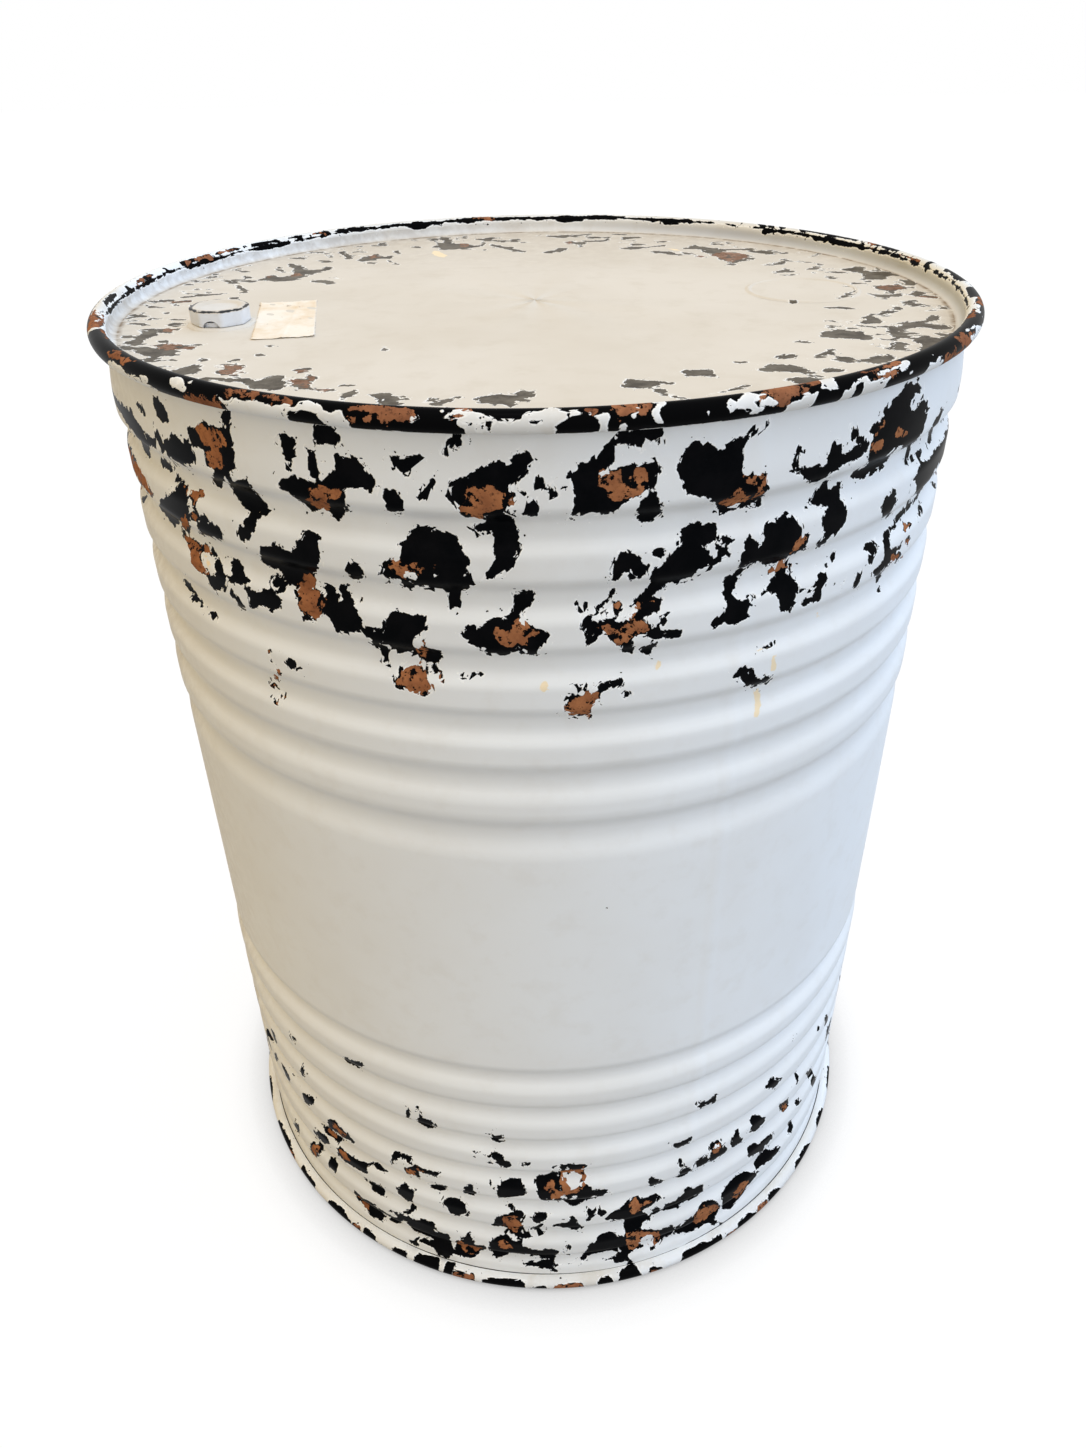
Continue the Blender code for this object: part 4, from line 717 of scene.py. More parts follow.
PANEL_RUST = [
    [(144, 158), (150, 164), (158, 168), (166, 164), (172, 156), (174, 146), (166, 138),
     (158, 132), (154, 124), (150, 132), (146, 146)],
    [(28, 228), (33, 230), (35, 222), (32, 214), (28, 218)],
    [(-64, 226), (-58, 226), (-54, 214), (-60, 206), (-64, 214)],
    [(-138, 176), (-131, 182), (-128, 172), (-134, 166)],
    [(242, 24), (252, 30), (262, 32), (262, 18), (252, 12), (244, 14)],
    [(-236, 18), (-228, 20), (-220, 18), (-216, 8), (-222, 8), (-230, 14)],
    [(-262, 18), (-252, 18), (-243, 20), (-244, 14), (-254, 14)],
    [(-240, -58), (-232, -60), (-230, -66), (-238, -68)],
    [(-236, -102), (-228, -99), (-220, -99), (-216, -103), (-208, -105), (-207, -113),
     (-216, -113), (-226, -114), (-229, -108)],
    [(-184, -151), (-176, -148), (-170, -153), (-166, -160), (-170, -168), (-166, -173),
     (-176, -171), (-181, -164), (-178, -158)],
    [(-175, -145), (-170, -150), (-166, -158), (-165, -168), (-169, -161), (-173, -151)],
    [(-137, -180), (-130, -181), (-123, -190), (-121, -199), (-127, -201), (-131, -192)],
    [(-124, -199), (-116, -201), (-109, -199), (-113, -207), (-122, -205)],
    [(-128, -173), (-123, -179), (-121, -188), (-126, -187)],
    [(-137, -163), (-130, -161), (-127, -166), (-134, -169)],
    [(-190, 112), (-184, 112), (-180, 102), (-186, 98)],
    [(-208, 106), (-202, 106), (-200, 96), (-204, 92)],
    [(120, -223), (134, -214), (148, -207), (146, -213), (132, -219)],
    [(176, -188), (186, -181), (198, -173), (200, -179), (188, -187), (180, -193)],
    [(262, -8), (268, -6), (276, -12), (268, -12)],
    [(130, 158), (138, 150), (136, 142), (131, 150)],
]

# Cream paint showing where the white flaked: on the panel and on the wall
PANEL_CREAM = [
    [(-85, 196), (-80, 192), (-78, 186), (-75, 180), (-72, 172), (-74, 165), (-80, 170),
     (-84, 178), (-86, 188)],
    [(110, 188), (118, 184), (124, 176), (116, 178)],
]

WALL_CREAM = [
    [(25.4, 572), (26.2, 572), (26.8, 562), (26.6, 551), (26, 552), (25.8, 562)],
    [(25.2, 600), (28.2, 600), (28.2, 598.2), (25.2, 598)],
    [(27.6, 592), (28.2, 592), (28.4, 580), (27.8, 581)],
    [(-0.4, 596), (0.4, 598), (0.8, 590), (0, 589)],
    [(12.4, 604), (13, 605), (13.4, 600), (12.8, 599)],
    [(33.6, 610), (34.2, 611), (34.4, 606)],
    [(-43.4, 640), (-42.6, 641), (-42.4, 632), (-43.2, 632)],
]

# White paint left on the front of the top chime: (azimuth, mm round the bead from its top
# outwards). The bead is black there otherwise.
RIM_ISLANDS = [
    [(-40.5, 4), (-40.4, 6.5), (-39.9, 8), (-39.4, 7.2), (-38.9, 8.4), (-38.1, 8.8), (-37.8, 7),
     (-38.2, 4.4), (-38.8, 2.6), (-39.4, 2.3), (-39.9, 3.1)],
    [(-37.9, 2.4), (-37.4, 2.4), (-37.3, 3.6), (-37.8, 3.6)],
    [(-56.2, 13.5), (-55.4, 10), (-53.2, 7.4), (-52, 8), (-50.5, 8), (-50, 9.5), (-48.8, 10.6),
     (-47.5, 9), (-46.7, 9), (-45.8, 7.8), (-44.7, 7.8), (-44.7, 9.8), (-45.4, 11.3), (-44.4, 11.3),
     (-43.5, 13), (-43.5, 18), (-56, 18)],
    [(-33.2, 7.2), (-32.7, 7.6), (-32.1, 10), (-32.8, 9)],
    [(-32.1, 18), (-32.2, 9), (-31.4, 8), (-31, 5.6), (-30.3, 6), (-29.5, 6.4), (-28.3, 5.2),
     (-28.1, 3.6), (-27, 3.5), (-26.2, 4), (-26, 7), (-25.2, 6.8), (-24.7, 5.7), (-23.8, 6),
     (-23.5, 4.8), (-23.3, 2.8), (-22.4, 1.4), (-21.7, 2), (-21.2, 4.3), (-20.7, 5), (-20.6, 6.8),
     (-19.6, 7.3), (-19.1, 5.8), (-18.6, 5.8), (-18.4, 8.5), (-18, 9), (-17.8, 11.5), (-18, 18)],
    [(-12, 4.6), (-11.2, 5.4), (-10.9, 7), (-11.6, 9.2), (-12.1, 8)],
    [(-9, 2), (-8.6, 2), (-8.5, 3.6), (-8.9, 3.6)],
    [(-8.7, 6.4), (-8.1, 4), (-7.7, 2.3), (-7, 0.8), (-6, 2.3), (-5, 3.9), (-4.4, 5), (-3.9, 6.3),
     (-2, 6.9), (-1.4, 6.2), (-1.2, 3.9), (-0.8, 2.6), (0, 3), (0.5, 2.4), (0.9, 0), (1, -6),
     (1.6, -6), (1.7, 0), (2.2, 2), (2.8, 2.9), (3.5, 2.2), (4.1, 3.9), (4.1, 6), (3.3, 6),
     (2.7, 7), (2.1, 8.5), (1.7, 10), (1.6, 18), (-6.8, 18), (-6.7, 11.3), (-7.4, 8.5), (-8, 7)],
    [(4.2, 2.2), (4.5, 2.2), (5.4, 6.8), (5, 6.8)],
    [(5.2, 6.3), (5.8, 5.3), (6.5, 4.8), (6.6, 7), (6.4, 9), (6.2, 18), (5.7, 18), (5.8, 10),
     (5.5, 8)],
    [(7.5, 18), (7.6, 12), (7.8, 10), (8.2, 11), (8.2, 18)],
    [(7.6, 4.4), (7.9, 4.4), (7.9, 5.6), (7.6, 5.6)],
    [(8.7, 6.2), (9.1, 6), (9.1, 7.6), (8.8, 7.6)],
    [(9.1, 3.4), (9.5, 3), (10.2, 4.6), (9.8, 6.4), (9.3, 5.6)],
    [(10.7, 0), (11, 2), (10.6, 4), (10.3, 6), (10.3, 7.4), (10.6, 8.7), (10.8, 11.3),
     (11.7, 11.6), (11.5, 9), (11.3, 6.5), (11.6, 4.5), (12.1, 2), (12.4, -6), (11, -6)],
    [(15.7, 7.6), (16.1, 7.6), (15.9, 10.6)],
    [(18.1, 5), (18.3, 2.4), (18.7, 4.6), (18.5, 9.7), (18.1, 8)],
    [(18.8, 5), (19.2, 3), (19.8, 2), (20.1, 0), (20.2, -6), (20.7, -6), (20.9, 1), (21.5, 2.5),
     (22.2, 2.9), (22.7, 5), (23, 6.5), (23.4, 8.6), (22.8, 9.3), (22, 9), (21.8, 11), (21.2, 12.4),
     (20.3, 11.7), (19.9, 9.5), (19.3, 8), (18.9, 8.8), (18.7, 7)],
    [(24.4, 18), (24.5, 9.5), (25, 8.2), (26, 8.3), (26.3, 6.9), (28.1, 6.6), (27.8, 9),
     (27.4, 18)],
    [(28.5, 5.2), (28.9, 3), (29, 1), (29.4, -6), (31, -6), (30.8, 1), (30.5, 4), (30.6, 6),
     (31, 7), (30.7, 7.8), (29.8, 7.8), (29.2, 6)],
    [(30.8, 18), (31.3, 9.5), (31.3, 7.7), (32, 8.6), (32.5, 6.5), (33.2, 5.9), (34, 4.8),
     (34.7, 5.2), (35, 7), (36, 8), (37, 7.6), (37.8, 9), (38.4, 7.9), (39, 7.3), (40.5, 7),
     (41.5, 6), (41.9, 3.5), (41.4, 1.4), (40.2, 2.4), (39, 3.4), (37.4, 4), (36.5, 4.9),
     (37.4, 5.6), (40, 6), (38, 7.4), (37.7, 9.6), (37.6, 18)],
    [(41.5, 8.6), (42.3, 8.6), (42.3, 10), (41.6, 10)],
    [(45, 18), (45.2, 10), (45.5, 6.8), (46.1, 7.6), (46.6, 9), (47, 8.4), (47.3, 6.4), (48.6, 6.8),
     (48.4, 9.4), (48.9, 10.6), (48.6, 18)],
    [(46, 4.6), (46.6, 4.6), (46.6, 5.6), (46, 5.6)],
    [(56.8, 1.4), (58.5, 2.6), (59.6, 2.8), (61, 4), (60, 5), (58, 3.6), (57, 3)],
    [(57.2, 6.8), (59, 6.9), (60, 8), (60.5, 6), (61, 5.3), (62.5, 5.8), (64.2, 7.8), (66.6, 9.6),
     (66.6, 18), (58.6, 18), (58.5, 10.5)],
]

# Black that shows inside those islands
RIM_HOLES = [
    [(-39.4, 4), (-39, 4), (-39, 5.4), (-39.3, 5.4)],
    [(-25.2, 7), (-24.8, 7), (-24.8, 8.4), (-25.1, 8.4)],
    [(-24.8, 18), (-24.7, 11.2), (-24.2, 8.8), (-23.5, 8.3), (-22.8, 7), (-21.8, 7.8), (-21, 8.5),
     (-20.9, 10.5), (-20.5, 11.6), (-20.4, 18)],
    [(-7.3, 7.5), (-4.1, 7.4), (-4.1, 8.5), (-7, 8.3)],
    [(-6, 8.3), (-5.7, 8.3), (-5.2, 12.8), (-5.5, 12.8)],
    [(-5, 8.3), (-4.3, 8.3), (-4.2, 12.3), (-4.6, 12)],
    [(-5.4, 5.4), (-5.1, 5.4), (-5.1, 6.4), (-5.4, 6.4)],
    [(-2.6, 6.4), (-2.3, 6.4), (-2.3, 7.9), (-2.6, 7.9)],
    [(-0.8, 7.6), (0.4, 7.6), (0.4, 8.3), (-0.8, 8.3)],
    [(20.9, 6.4), (21.3, 6.4), (21.6, 8.8), (21.2, 8.6)],
    [(20.2, 9.8), (20.7, 9.8), (20.6, 11), (20.2, 10.8)],
    [(32.7, 18), (33, 8), (33.5, 6.6), (34, 6.8), (34.1, 12), (34, 18)],
]

# Black on the white back of the top chime
RIM_BLACK_BACK = [
    [(-92, -8.4), (-88, -8), (-84, -8.4), (-79.4, -9.5), (-79, -7.6), (-76, -6.4), (-79, -6.2),
     (-84, -6.6), (-92, -6.8)],
    [(-92, -6.8), (-91.2, -6.4), (-91, -3), (-92, -2.6)],
    [(-87.8, -3.4), (-86.6, -5), (-84, -5.2), (-80, -4.6), (-80.8, -2), (-82, -0.5), (-84, -0.7),
     (-87.2, -1.6)],
    [(-66.5, -5), (-63, -4.4), (-60, -3), (-57, -1.6), (-53, -0.4), (-53, 1), (-57, 0.2),
     (-60, -1), (-66.5, -3)],
    [(71, -6.6), (76, -6.8), (82, -6.4), (84, -7.4), (86, -6.2), (88.6, -6.4), (90, -7.6),
     (95, -6.6), (95, -5), (90, -5), (84, -5.2), (78, -5.6), (71, -5.4)],
    [(75, -3), (77, -3.6), (81, -2.6), (81, 6), (76.4, 6), (75, 1)],
    [(84.6, -2.4), (87, -3), (90.5, -2.4), (92.6, -2.6), (93, 6), (84.6, 6)],
    [(96.4, -8.6), (97, -8.6), (97.8, -4), (98, 1), (96.8, 1), (97, -3)],
    [(95, -6.4), (99.6, -6.6), (100.6, -8), (102, -7), (106, -7.2), (108.4, -6.6), (110, -7.6),
     (113, -6.6), (115, -8.6), (116.4, -6), (117.4, -9), (121.6, -9), (122.6, -7), (123.4, -9),
     (125.6, -8.8), (126.4, -6.6), (131.6, -6.4), (132.4, -8), (133.6, -6.4), (135, -8.8),
     (136.6, -8.6), (136.4, -5.4), (139, -5.4), (150, -5.4), (150.6, -8.6), (151.4, -6),
     (153.4, -7.8), (155.6, -8.4), (156.4, -5.4), (158, -7.2), (160, -5.8), (166, -6.4),
     (170.6, -5.8), (171.4, -7.6), (174.6, -8.8), (177, -6.4), (178.6, -6.8), (181, -6.4),
     (186, -6), (188.4, -7), (190.4, -6.8), (192.4, -8.4), (194, -6.4), (196.6, -6.2),
     (197.2, -9), (198, -6.4), (200, -9.6), (202.6, -9.6), (204.4, -6), (209, -6.2), (209.6, -8),
     (210.6, -5.4), (212.6, -7.4), (215, -6.4), (217, -7.8), (219, -6.8), (222, -8.2), (226, -7.4),
     (228, -9.4), (232.4, -9.6), (237, -7.4), (239, -8), (241, -9.6), (250, -9.6), (251, -7.6),
     (256, -7.2), (258, -8.6), (264.4, -8.6), (268, -8.4), (268, -6.8), (260, -6.2), (252, -6.6),
     (244, -6.6), (238, -6.6), (232, -6.2), (226, -6.2), (218, -5), (214, -3.2), (208.4, -4.4),
     (204, -3.2), (196, -3.4), (190, -3), (182, -4), (176, -3), (170, -2.8), (164, -3.4),
     (157, -4.2), (155.4, -2.4), (153.4, -3), (151.6, -2.2), (150.4, -4), (139, -4.6),
     (131, -4.4), (121, -4.2), (112, -4.6), (104, -5), (95, -5.2)],
    [(106.4, -3.2), (111, -3), (111.4, 1), (106.8, 1)],
    [(114.6, -5), (115.4, -5), (117, 1), (115.8, 1)],
    [(116.6, -3.2), (127.6, -3), (129.4, 1), (117, 1)],
    [(128, -4), (129, -4), (130, 1), (128.6, 1)],
    [(132.4, -3), (133.6, -3), (134, 1), (132.6, 1)],
    [(134.6, -4), (135.6, -4), (136.2, 1), (135.2, 1)],
    [(136, -4), (137, -4), (138.6, 1), (137.2, 1)],
    [(162, -4), (169, -3), (169, -2), (163, -2.4)],
    [(208.6, -6), (217, -6), (216.6, -2), (211, -2.6)],
    [(218.4, -7), (219.4, -7), (219.4, -2), (218.4, -2)],
    [(222.6, -5), (226.6, -5.4), (227, -3), (224, -2.6)],
    [(228.4, -6.4), (234.6, -6), (234.4, -3), (229, -2.6)],
    [(235.6, -6), (236.4, -6), (236.6, -2.4), (235.8, -2.4)],
    [(250, -6.6), (251.4, -6.6), (251.6, -2.2), (250.2, -2.4)],
    [(255, -6), (255.6, -6), (256, -2.6), (255.4, -2.6)],
]

RIM_RUST = [
    [(-38.9, 18), (-38.7, 10.5), (-37.8, 8.6), (-37.2, 10), (-36.7, 9), (-36, 10), (-35.5, 7),
     (-34.8, 7.4), (-34.5, 9.5), (-33.8, 8.2), (-33, 10), (-32.6, 12), (-33.5, 18)],
    [(-32.6, 2), (-31, 0.4), (-27.5, 0.8), (-24.6, 1), (-24, 3), (-24, 4.8), (-26, 5.1),
     (-27.8, 4.2), (-29.5, 4.5), (-31.5, 5.2), (-32.3, 4)],
    [(-17.7, 4), (-16.9, 2.3), (-15.5, 1.2), (-14.2, 0.6), (-12.4, 1.4), (-11.9, 3.5), (-11.9, 7),
     (-11.9, 9.5), (-12.3, 11.2), (-12.8, 9), (-13.5, 8.5), (-14, 11.3), (-14.6, 10), (-15, 8.5),
     (-15, 6), (-16.5, 5.2), (-17.3, 4.8)],
    [(-17.9, 9), (-17.2, 8.6), (-16.9, 10.9), (-17.6, 10.8)],
    [(-16.6, 7), (-15.6, 6.8), (-15.6, 9), (-16.4, 8.9)],
    [(-8.3, 5.6), (-7.2, 3.4), (-6.5, 5), (-7.2, 6.6), (-8, 6.2)],
    [(-7.3, 0.8), (-6.7, 0.6), (-6.2, 3), (-7, 3.2)],
    [(-27.9, 5.2), (-26.4, 5.4), (-26.5, 6.3), (-27.5, 6)],
    [(4.6, 2.5), (5, 0.8), (5.5, 3), (5.6, 5), (5, 4.6)],
    [(7.1, -6), (7, 3), (7.1, 6), (7.6, 7.8), (8.4, 6.5), (8.9, 5), (9.1, 2), (9.1, -6)],
    [(9.4, 0), (9.4, 3), (9.2, 5), (9.6, 7.2), (10.1, 6.5), (10.4, 4), (10.7, 1), (10.5, -6),
     (9.6, -6)],
    [(22.4, 0), (23, -4), (28, -4), (28.9, 1), (28.6, 3), (27, 5), (26, 6.6), (25.5, 8.2),
     (24.6, 7.6), (24.2, 9.5), (23.3, 8), (23.1, 5), (22.7, 3)],
    [(21.3, 4.2), (22, 3.8), (22.1, 5.2), (21.4, 5.4)],
    [(34.4, 1), (36, 0.3), (38.5, 1), (40.4, 1), (40.1, 3), (38, 3), (36, 3.6), (34.4, 3)],
    [(34.6, 6.2), (36, 5.2), (38, 5.1), (40, 5.1), (40.4, 6.6), (38.5, 7.5), (37.7, 8.5),
     (36.5, 7.6), (35.2, 8)],
    [(49.2, 8), (50.5, 7.3), (52, 8.3), (53, 9.5), (54, 11), (55.6, 12.6), (50, 13.5)],
    [(53.5, 1.8), (56.6, 2.4), (56, 4), (57.6, 6), (57.3, 8), (58.6, 10), (58.6, 13), (56, 11.4),
     (54.5, 9.3), (53.9, 6)],
    [(56.6, 4), (58, 5), (60.2, 6), (60.3, 7.6), (59, 7), (57, 6)],
    [(61.6, -2), (64, -3), (68.6, -2), (68, 0.4), (63, 0.4)],
    [(70.4, -1.4), (73, -0.4), (75.2, 2), (76.2, 6), (71.6, 6), (70.8, 3)],
    [(-77.2, -4.4), (-75.5, -5.6), (-73, -7), (-71, -5.6), (-69, -4.6), (-67.2, -3), (-66.5, -1),
     (-66.7, 2), (-67.5, 5.4), (-70, 5), (-74, 3), (-77.3, 1.4), (-76.6, -0.6), (-74.6, 0),
     (-74, -1.6), (-76, -2)],
    [(-55.4, 2.3), (-54, 1.8), (-48.9, 2.1), (-49.4, 4), (-51, 5.6), (-55.6, 6.2), (-56, 5)],
    [(-66, -4.6), (-62, -4), (-61, -2.4), (-66, -3.4)],
    [(99, -5.4), (106, -5), (106, -3.2), (100, -3)],
    [(111.4, -3), (114, -3), (115, 1), (112, 1)],
    [(187, -4.4), (193, -4.6), (193, -2), (188, -2.2)],
    [(219.6, -5), (222.4, -5), (222, -2.6), (220, -2.4)],
    [(237, -5.4), (243, -5.4), (242.6, -3), (237.6, -3)],
    [(243.6, -6.4), (250, -6), (250, -2.8), (244, -3)],
    [(258.6, -5.8), (265, -5.6), (265, -3), (259.4, -3)],
]

# Small pale curls of paint on the rusty left end of the chime
RIM_CURLS = [
    [(-76, -4.6), (-75.4, -4.8), (-74, -2), (-74.6, -1.8)],
    [(-74, -4.4), (-73.4, -4.8), (-72, -1.6), (-72.6, -1.2)],
    [(-72, -3.6), (-71.4, -3.8), (-69.6, -0.4), (-70.4, -0.2)],
    [(-70.4, -3), (-69.8, -3.2), (-68, -0.8), (-68.8, -0.4)],
    [(-66.6, -4), (-66, -1), (-66, 3), (-67, 7), (-67.6, 7), (-66.7, 3), (-66.6, -1)],
    [(-72.6, 0.6), (-72, 0.4), (-71, 2.4), (-71.8, 2.6)],
]

# Black and rust on the foot chime: (azimuth, mm round the bead from its foot outwards)
FOOT_CHIPS = [
    [(-28.6, 3), (-28.4, 12), (-25.6, 13), (-25.4, 3)],
    [(-24.2, 2), (-24, 14), (-21.6, 17), (-19.6, 18), (-19.4, 2)],
    [(-18.8, 5), (-18.4, 17), (-16.8, 18), (-17, 5)],
    [(-12, 2), (-11.8, 11), (-8, 12.6), (-4.6, 13), (-4.4, 2)],
    [(-3.6, 2), (-3.4, 9), (-1.2, 9.6), (-0.8, 2)],
    [(7.4, 2), (7.6, 12), (9.6, 12.6), (10.2, 2)],
    [(10.8, 2), (11.4, 14), (13, 19), (14, 18), (15.4, 2)],
    [(15.8, 2), (16.6, 12), (18.6, 9), (19, 2)],
    [(21.8, 2), (22.6, 13), (26, 14), (28, 11), (30.4, 13), (30.8, 2)],
    [(33.6, 2), (34, 12), (37, 13), (38.4, 9), (38.6, 2)],
    [(42, 2), (42.4, 14), (45, 12), (46, 2)],
    [(50, 2), (50.6, 12), (55, 13), (57, 8), (57.4, 2)],
    [(-35, 2), (-34.6, 14), (-32, 12), (-31, 2)],
    [(-44, 2), (-43.6, 12), (-40, 14), (-37.6, 10), (-37.4, 2)],
    [(-53, 2), (-52.6, 13), (-48, 12), (-46.4, 2)],
    [(-64, 2), (-63.6, 13), (-59, 14), (-56, 11), (-55.8, 2)],
    [(61, 2), (61.6, 12), (65, 13), (66, 2)],
]

FOOT_RUST = [
    [(-17, 2), (-16.8, 12), (-13.4, 12.6), (-12.8, 2)],
    [(0, 2), (0.4, 10), (3, 11), (5, 10.4), (5.2, 2)],
    [(16, 3), (16.8, 10), (18, 8), (18.4, 3)],
    [(38.4, 3), (39, 12), (41.4, 11), (41.8, 3)],
    [(-37.2, 3), (-37, 11), (-35.4, 12), (-35.2, 3)],
    [(-58, 4), (-57.6, 12), (-55, 11), (-55, 4)],
    [(30.9, 3), (31.4, 10), (33.4, 9), (33.4, 3)],
]


def turned_outlines(outlines, shift, sign):
    turned = []
    for outline in outlines:
        turned.append([(sign * azimuth + shift, height) for azimuth, height in outline])
    return turned


def all_round(outlines):
    # The outlines in front, and the same ones turned round to the unseen back.
    behind_right = turned_outlines(outlines, BACK_TURN, -1.0)
    behind_left = turned_outlines(outlines, -BACK_TURN, 1.0)
    return outlines + behind_right + behind_left


def signed_distance(u, v, outline):
    # Millimetres inside the outline, negative outside it.
    points = np.asarray(outline, dtype=float)
    following = np.roll(points, -1, axis=0)
    nearest = np.full(u.shape, 1e9)
    inside = np.zeros(u.shape, dtype=bool)
    for (x0, y0), (x1, y1) in zip(points, following):
        dx, dy = x1 - x0, y1 - y0
        length = max(dx * dx + dy * dy, 1e-9)
        along = np.clip(((u - x0) * dx + (v - y0) * dy) / length, 0.0, 1.0)
        nearest = np.minimum(nearest, np.hypot(u - x0 - along * dx, v - y0 - along * dy))
        crosses = (y0 > v) != (y1 > v)
        if crosses.any():
            run = dx * (v - y0) / (dy if abs(dy) > 1e-9 else 1e-9) + x0
            inside ^= crosses & (u < run)
    return np.where(inside, nearest, -nearest)


def wrap(degrees):
    return (degrees + 180.0) % 360.0 - 180.0


def rise(value, low, high):
    # 0 at low, 1 at high, straight between and level beyond.
    return np.clip((value - low) / (high - low), 0.0, 1.0)


def field_round(azimuth, height, outlines, radius):
    # Field of outlines that are given as (azimuth, height) on a round wall.
    scale = math.radians(1.0) * radius
    found = np.full(azimuth.shape, -FAR)
    for outline in outlines:
        centre = sum(point[0] for point in outline) / len(outline)
        flat = [(scale * (a - centre), h) for a, h in outline]
        u = scale * wrap(azimuth - centre)
        reach_u = max(abs(p[0]) for p in flat) + FAR
        low = min(p[1] for p in flat) - FAR
        high = max(p[1] for p in flat) + FAR
        near = (np.abs(u) < reach_u) & (height > low) & (height < high)
        if near.any():
            found[near] = np.maximum(found[near], signed_distance(u[near], height[near], flat))
    return found


def on_plain_wall(azimuth, radius, height):
    # A groove lies behind the plain wall, so what it shows was read higher and less far round.
    right = azimuth > FRONT_EDGE
    left = azimuth < -FRONT_EDGE
    local = np.where(left, azimuth + BACK_TURN, azimuth)
    local = np.where(right, BACK_TURN - azimuth, local)
    turn = np.radians(local)
    side = READ_RADIUS * np.sin(turn)
    ahead = READ_DISTANCE - READ_RADIUS * np.cos(turn)
    slant = np.clip(turn + np.arctan2(side, ahead), -1.36, 1.36)
    depth = radius - READ_RADIUS
    drop = (READ_HEIGHT - height) / np.hypot(side, ahead)
    local = local + np.degrees(depth * np.tan(slant) / READ_RADIUS)
    read_azimuth = np.where(left, local - BACK_TURN, local)
    read_azimuth = np.where(right, BACK_TURN - local, read_azimuth)
    return read_azimuth, height - depth / np.cos(slant) * drop


def field_flat(x, y, outlines):
    # Field of outlines that are given as (x, y) on the head's panel.
    found = np.full(x.shape, -FAR)
    for outline in outlines:
        xs = [p[0] for p in outline]
        ys = [p[1] for p in outline]
        near = (x > min(xs) - FAR) & (x < max(xs) + FAR)
        near &= (y > min(ys) - FAR) & (y < max(ys) + FAR)
        if near.any():
            found[near] = np.maximum(found[near], signed_distance(x[near], y[near], outline))
    return found


def azimuth_steps(fine, coarse, front):
    # Fine steps across the front, coarser ones round the back.
    ahead = np.linspace(-front, front, int(round(2 * front / fine)) + 1)
    back = 360.0 - 2 * front
    behind = np.linspace(front, front + back, int(round(back / coarse)) + 1)[1:-1]
    return np.concatenate([ahead, behind])


def smooth_between(points, heights):
    # Radius at each height: eased from one control point to the next.
    points = sorted(points)
    zs = np.array([p[0] for p in points])
    rs = np.array([p[1] for p in points])
    index = np.clip(np.searchsorted(zs, heights) - 1, 0, len(zs) - 2)
    share = np.clip((heights - zs[index]) / (zs[index + 1] - zs[index]), 0.0, 1.0)
    eased = share * share * (3 - 2 * share)
    return rs[index] + (rs[index + 1] - rs[index]) * eased


def groove_points(height, steps, above, floor, below):
    # A groove's control points, from the top of its upper slope to the end of its lower one.
    start, floor_start, floor_end, end = steps
    return [
        (height + start, above),
        (height + floor_start, floor),
        (height + floor_end, floor),
        (height + end, below),
    ]


def wall_control_points():
    # The wall's section as (height, radius).
    points = [(NECK_LENGTH - 6.0, NECK_RADIUS), (NECK_LENGTH + 4.5, NECK_RADIUS)]
    for index, height in enumerate(BOTTOM_GROOVES):
        above = PLAIN_RADIUS if index == 0 else CREST_RADIUS
        points += groove_points(height, BOTTOM_GROOVE_STEPS, above, BOTTOM_GROOVE_FLOOR,
                                CREST_RADIUS)
    # The lowest groove ends in the neck instead of a crest.
    points.pop()
    for index, height in enumerate(TOP_GROOVES):
        above = FIRST_CREST_RADIUS if index == 0 else CREST_RADIUS
        points += groove_points(height, TOP_GROOVE_STEPS, above, TOP_GROOVE_FLOOR, CREST_RADIUS)
    # The last of them eases out into the plain band.
    points[-1] = (TOP_GROOVES[-1] + LAST_TOP_GROOVE_END, PLAIN_RADIUS)
    points += [(TOP_GROOVES[0] + 19.0, FIRST_CREST_RADIUS)]
    points += [(HEIGHT - NECK_LENGTH, NECK_RADIUS), (WALL_TOP, NECK_RADIUS)]
    return points


def gentle_dents(azimuth, height, seed, size):
    # A few long, low waves, as hand-rolled sheet has.
    rng = np.random.default_rng(seed)
    total = np.zeros(azimuth.shape)
    for _ in range(9):
        turns = rng.integers(2, 9)
        rise = rng.uniform(0.004, 0.02)
        phase = rng.uniform(0.0, 2 * math.pi)
        total += np.sin(np.radians(azimuth) * turns + height * rise + phase)
    return size * total / 3.0


def grid_mesh(name, points, closed=True):
    # Points as (rows, columns, 3) in millimetres. Where it is closed, the columns run round.
    rows, columns, _ = points.shape
    mesh = bpy.data.meshes.new(name)
    index = np.arange(rows * columns).reshape(rows, columns)
    right = np.roll(index, -1, axis=1) if closed else index[:, 1:]
    left = index if closed else index[:, :-1]
    quads = np.stack([left[:-1], right[:-1], right[1:], left[1:]], axis=-1).reshape(-1, 4)
    mesh.vertices.add(rows * columns)
    mesh.vertices.foreach_set("co", (points.reshape(-1, 3) * MM).astype(np.float32).ravel())
    mesh.loops.add(quads.size)
    mesh.loops.foreach_set("vertex_index", quads.astype(np.int32).ravel())
    mesh.polygons.add(len(quads))
    mesh.polygons.foreach_set("loop_start", np.arange(0, quads.size, 4, dtype=np.int32))
    mesh.polygons.foreach_set("loop_total", np.full(len(quads), 4, dtype=np.int32))
    mesh.update(calc_edges=True)
    mesh.validate()
    mesh.shade_smooth()
    made = bpy.data.objects.new(name, mesh)
    bpy.context.scene.collection.objects.link(made)
    return made


# Every field that the paint reads, and its value where a piece gives none. chip, rust and cream
#  are distances inside their outlines. The rest are shares from 0 to 1: rim, a field of dirt and
#  painted shade, and painted shade on the wall inside the chime.
PLAIN_FIELDS = {"chip": -FAR, "rust": -FAR, "cream": -FAR, "rim": 0.0, "dirt": 0.0, "chuck": 0.0}


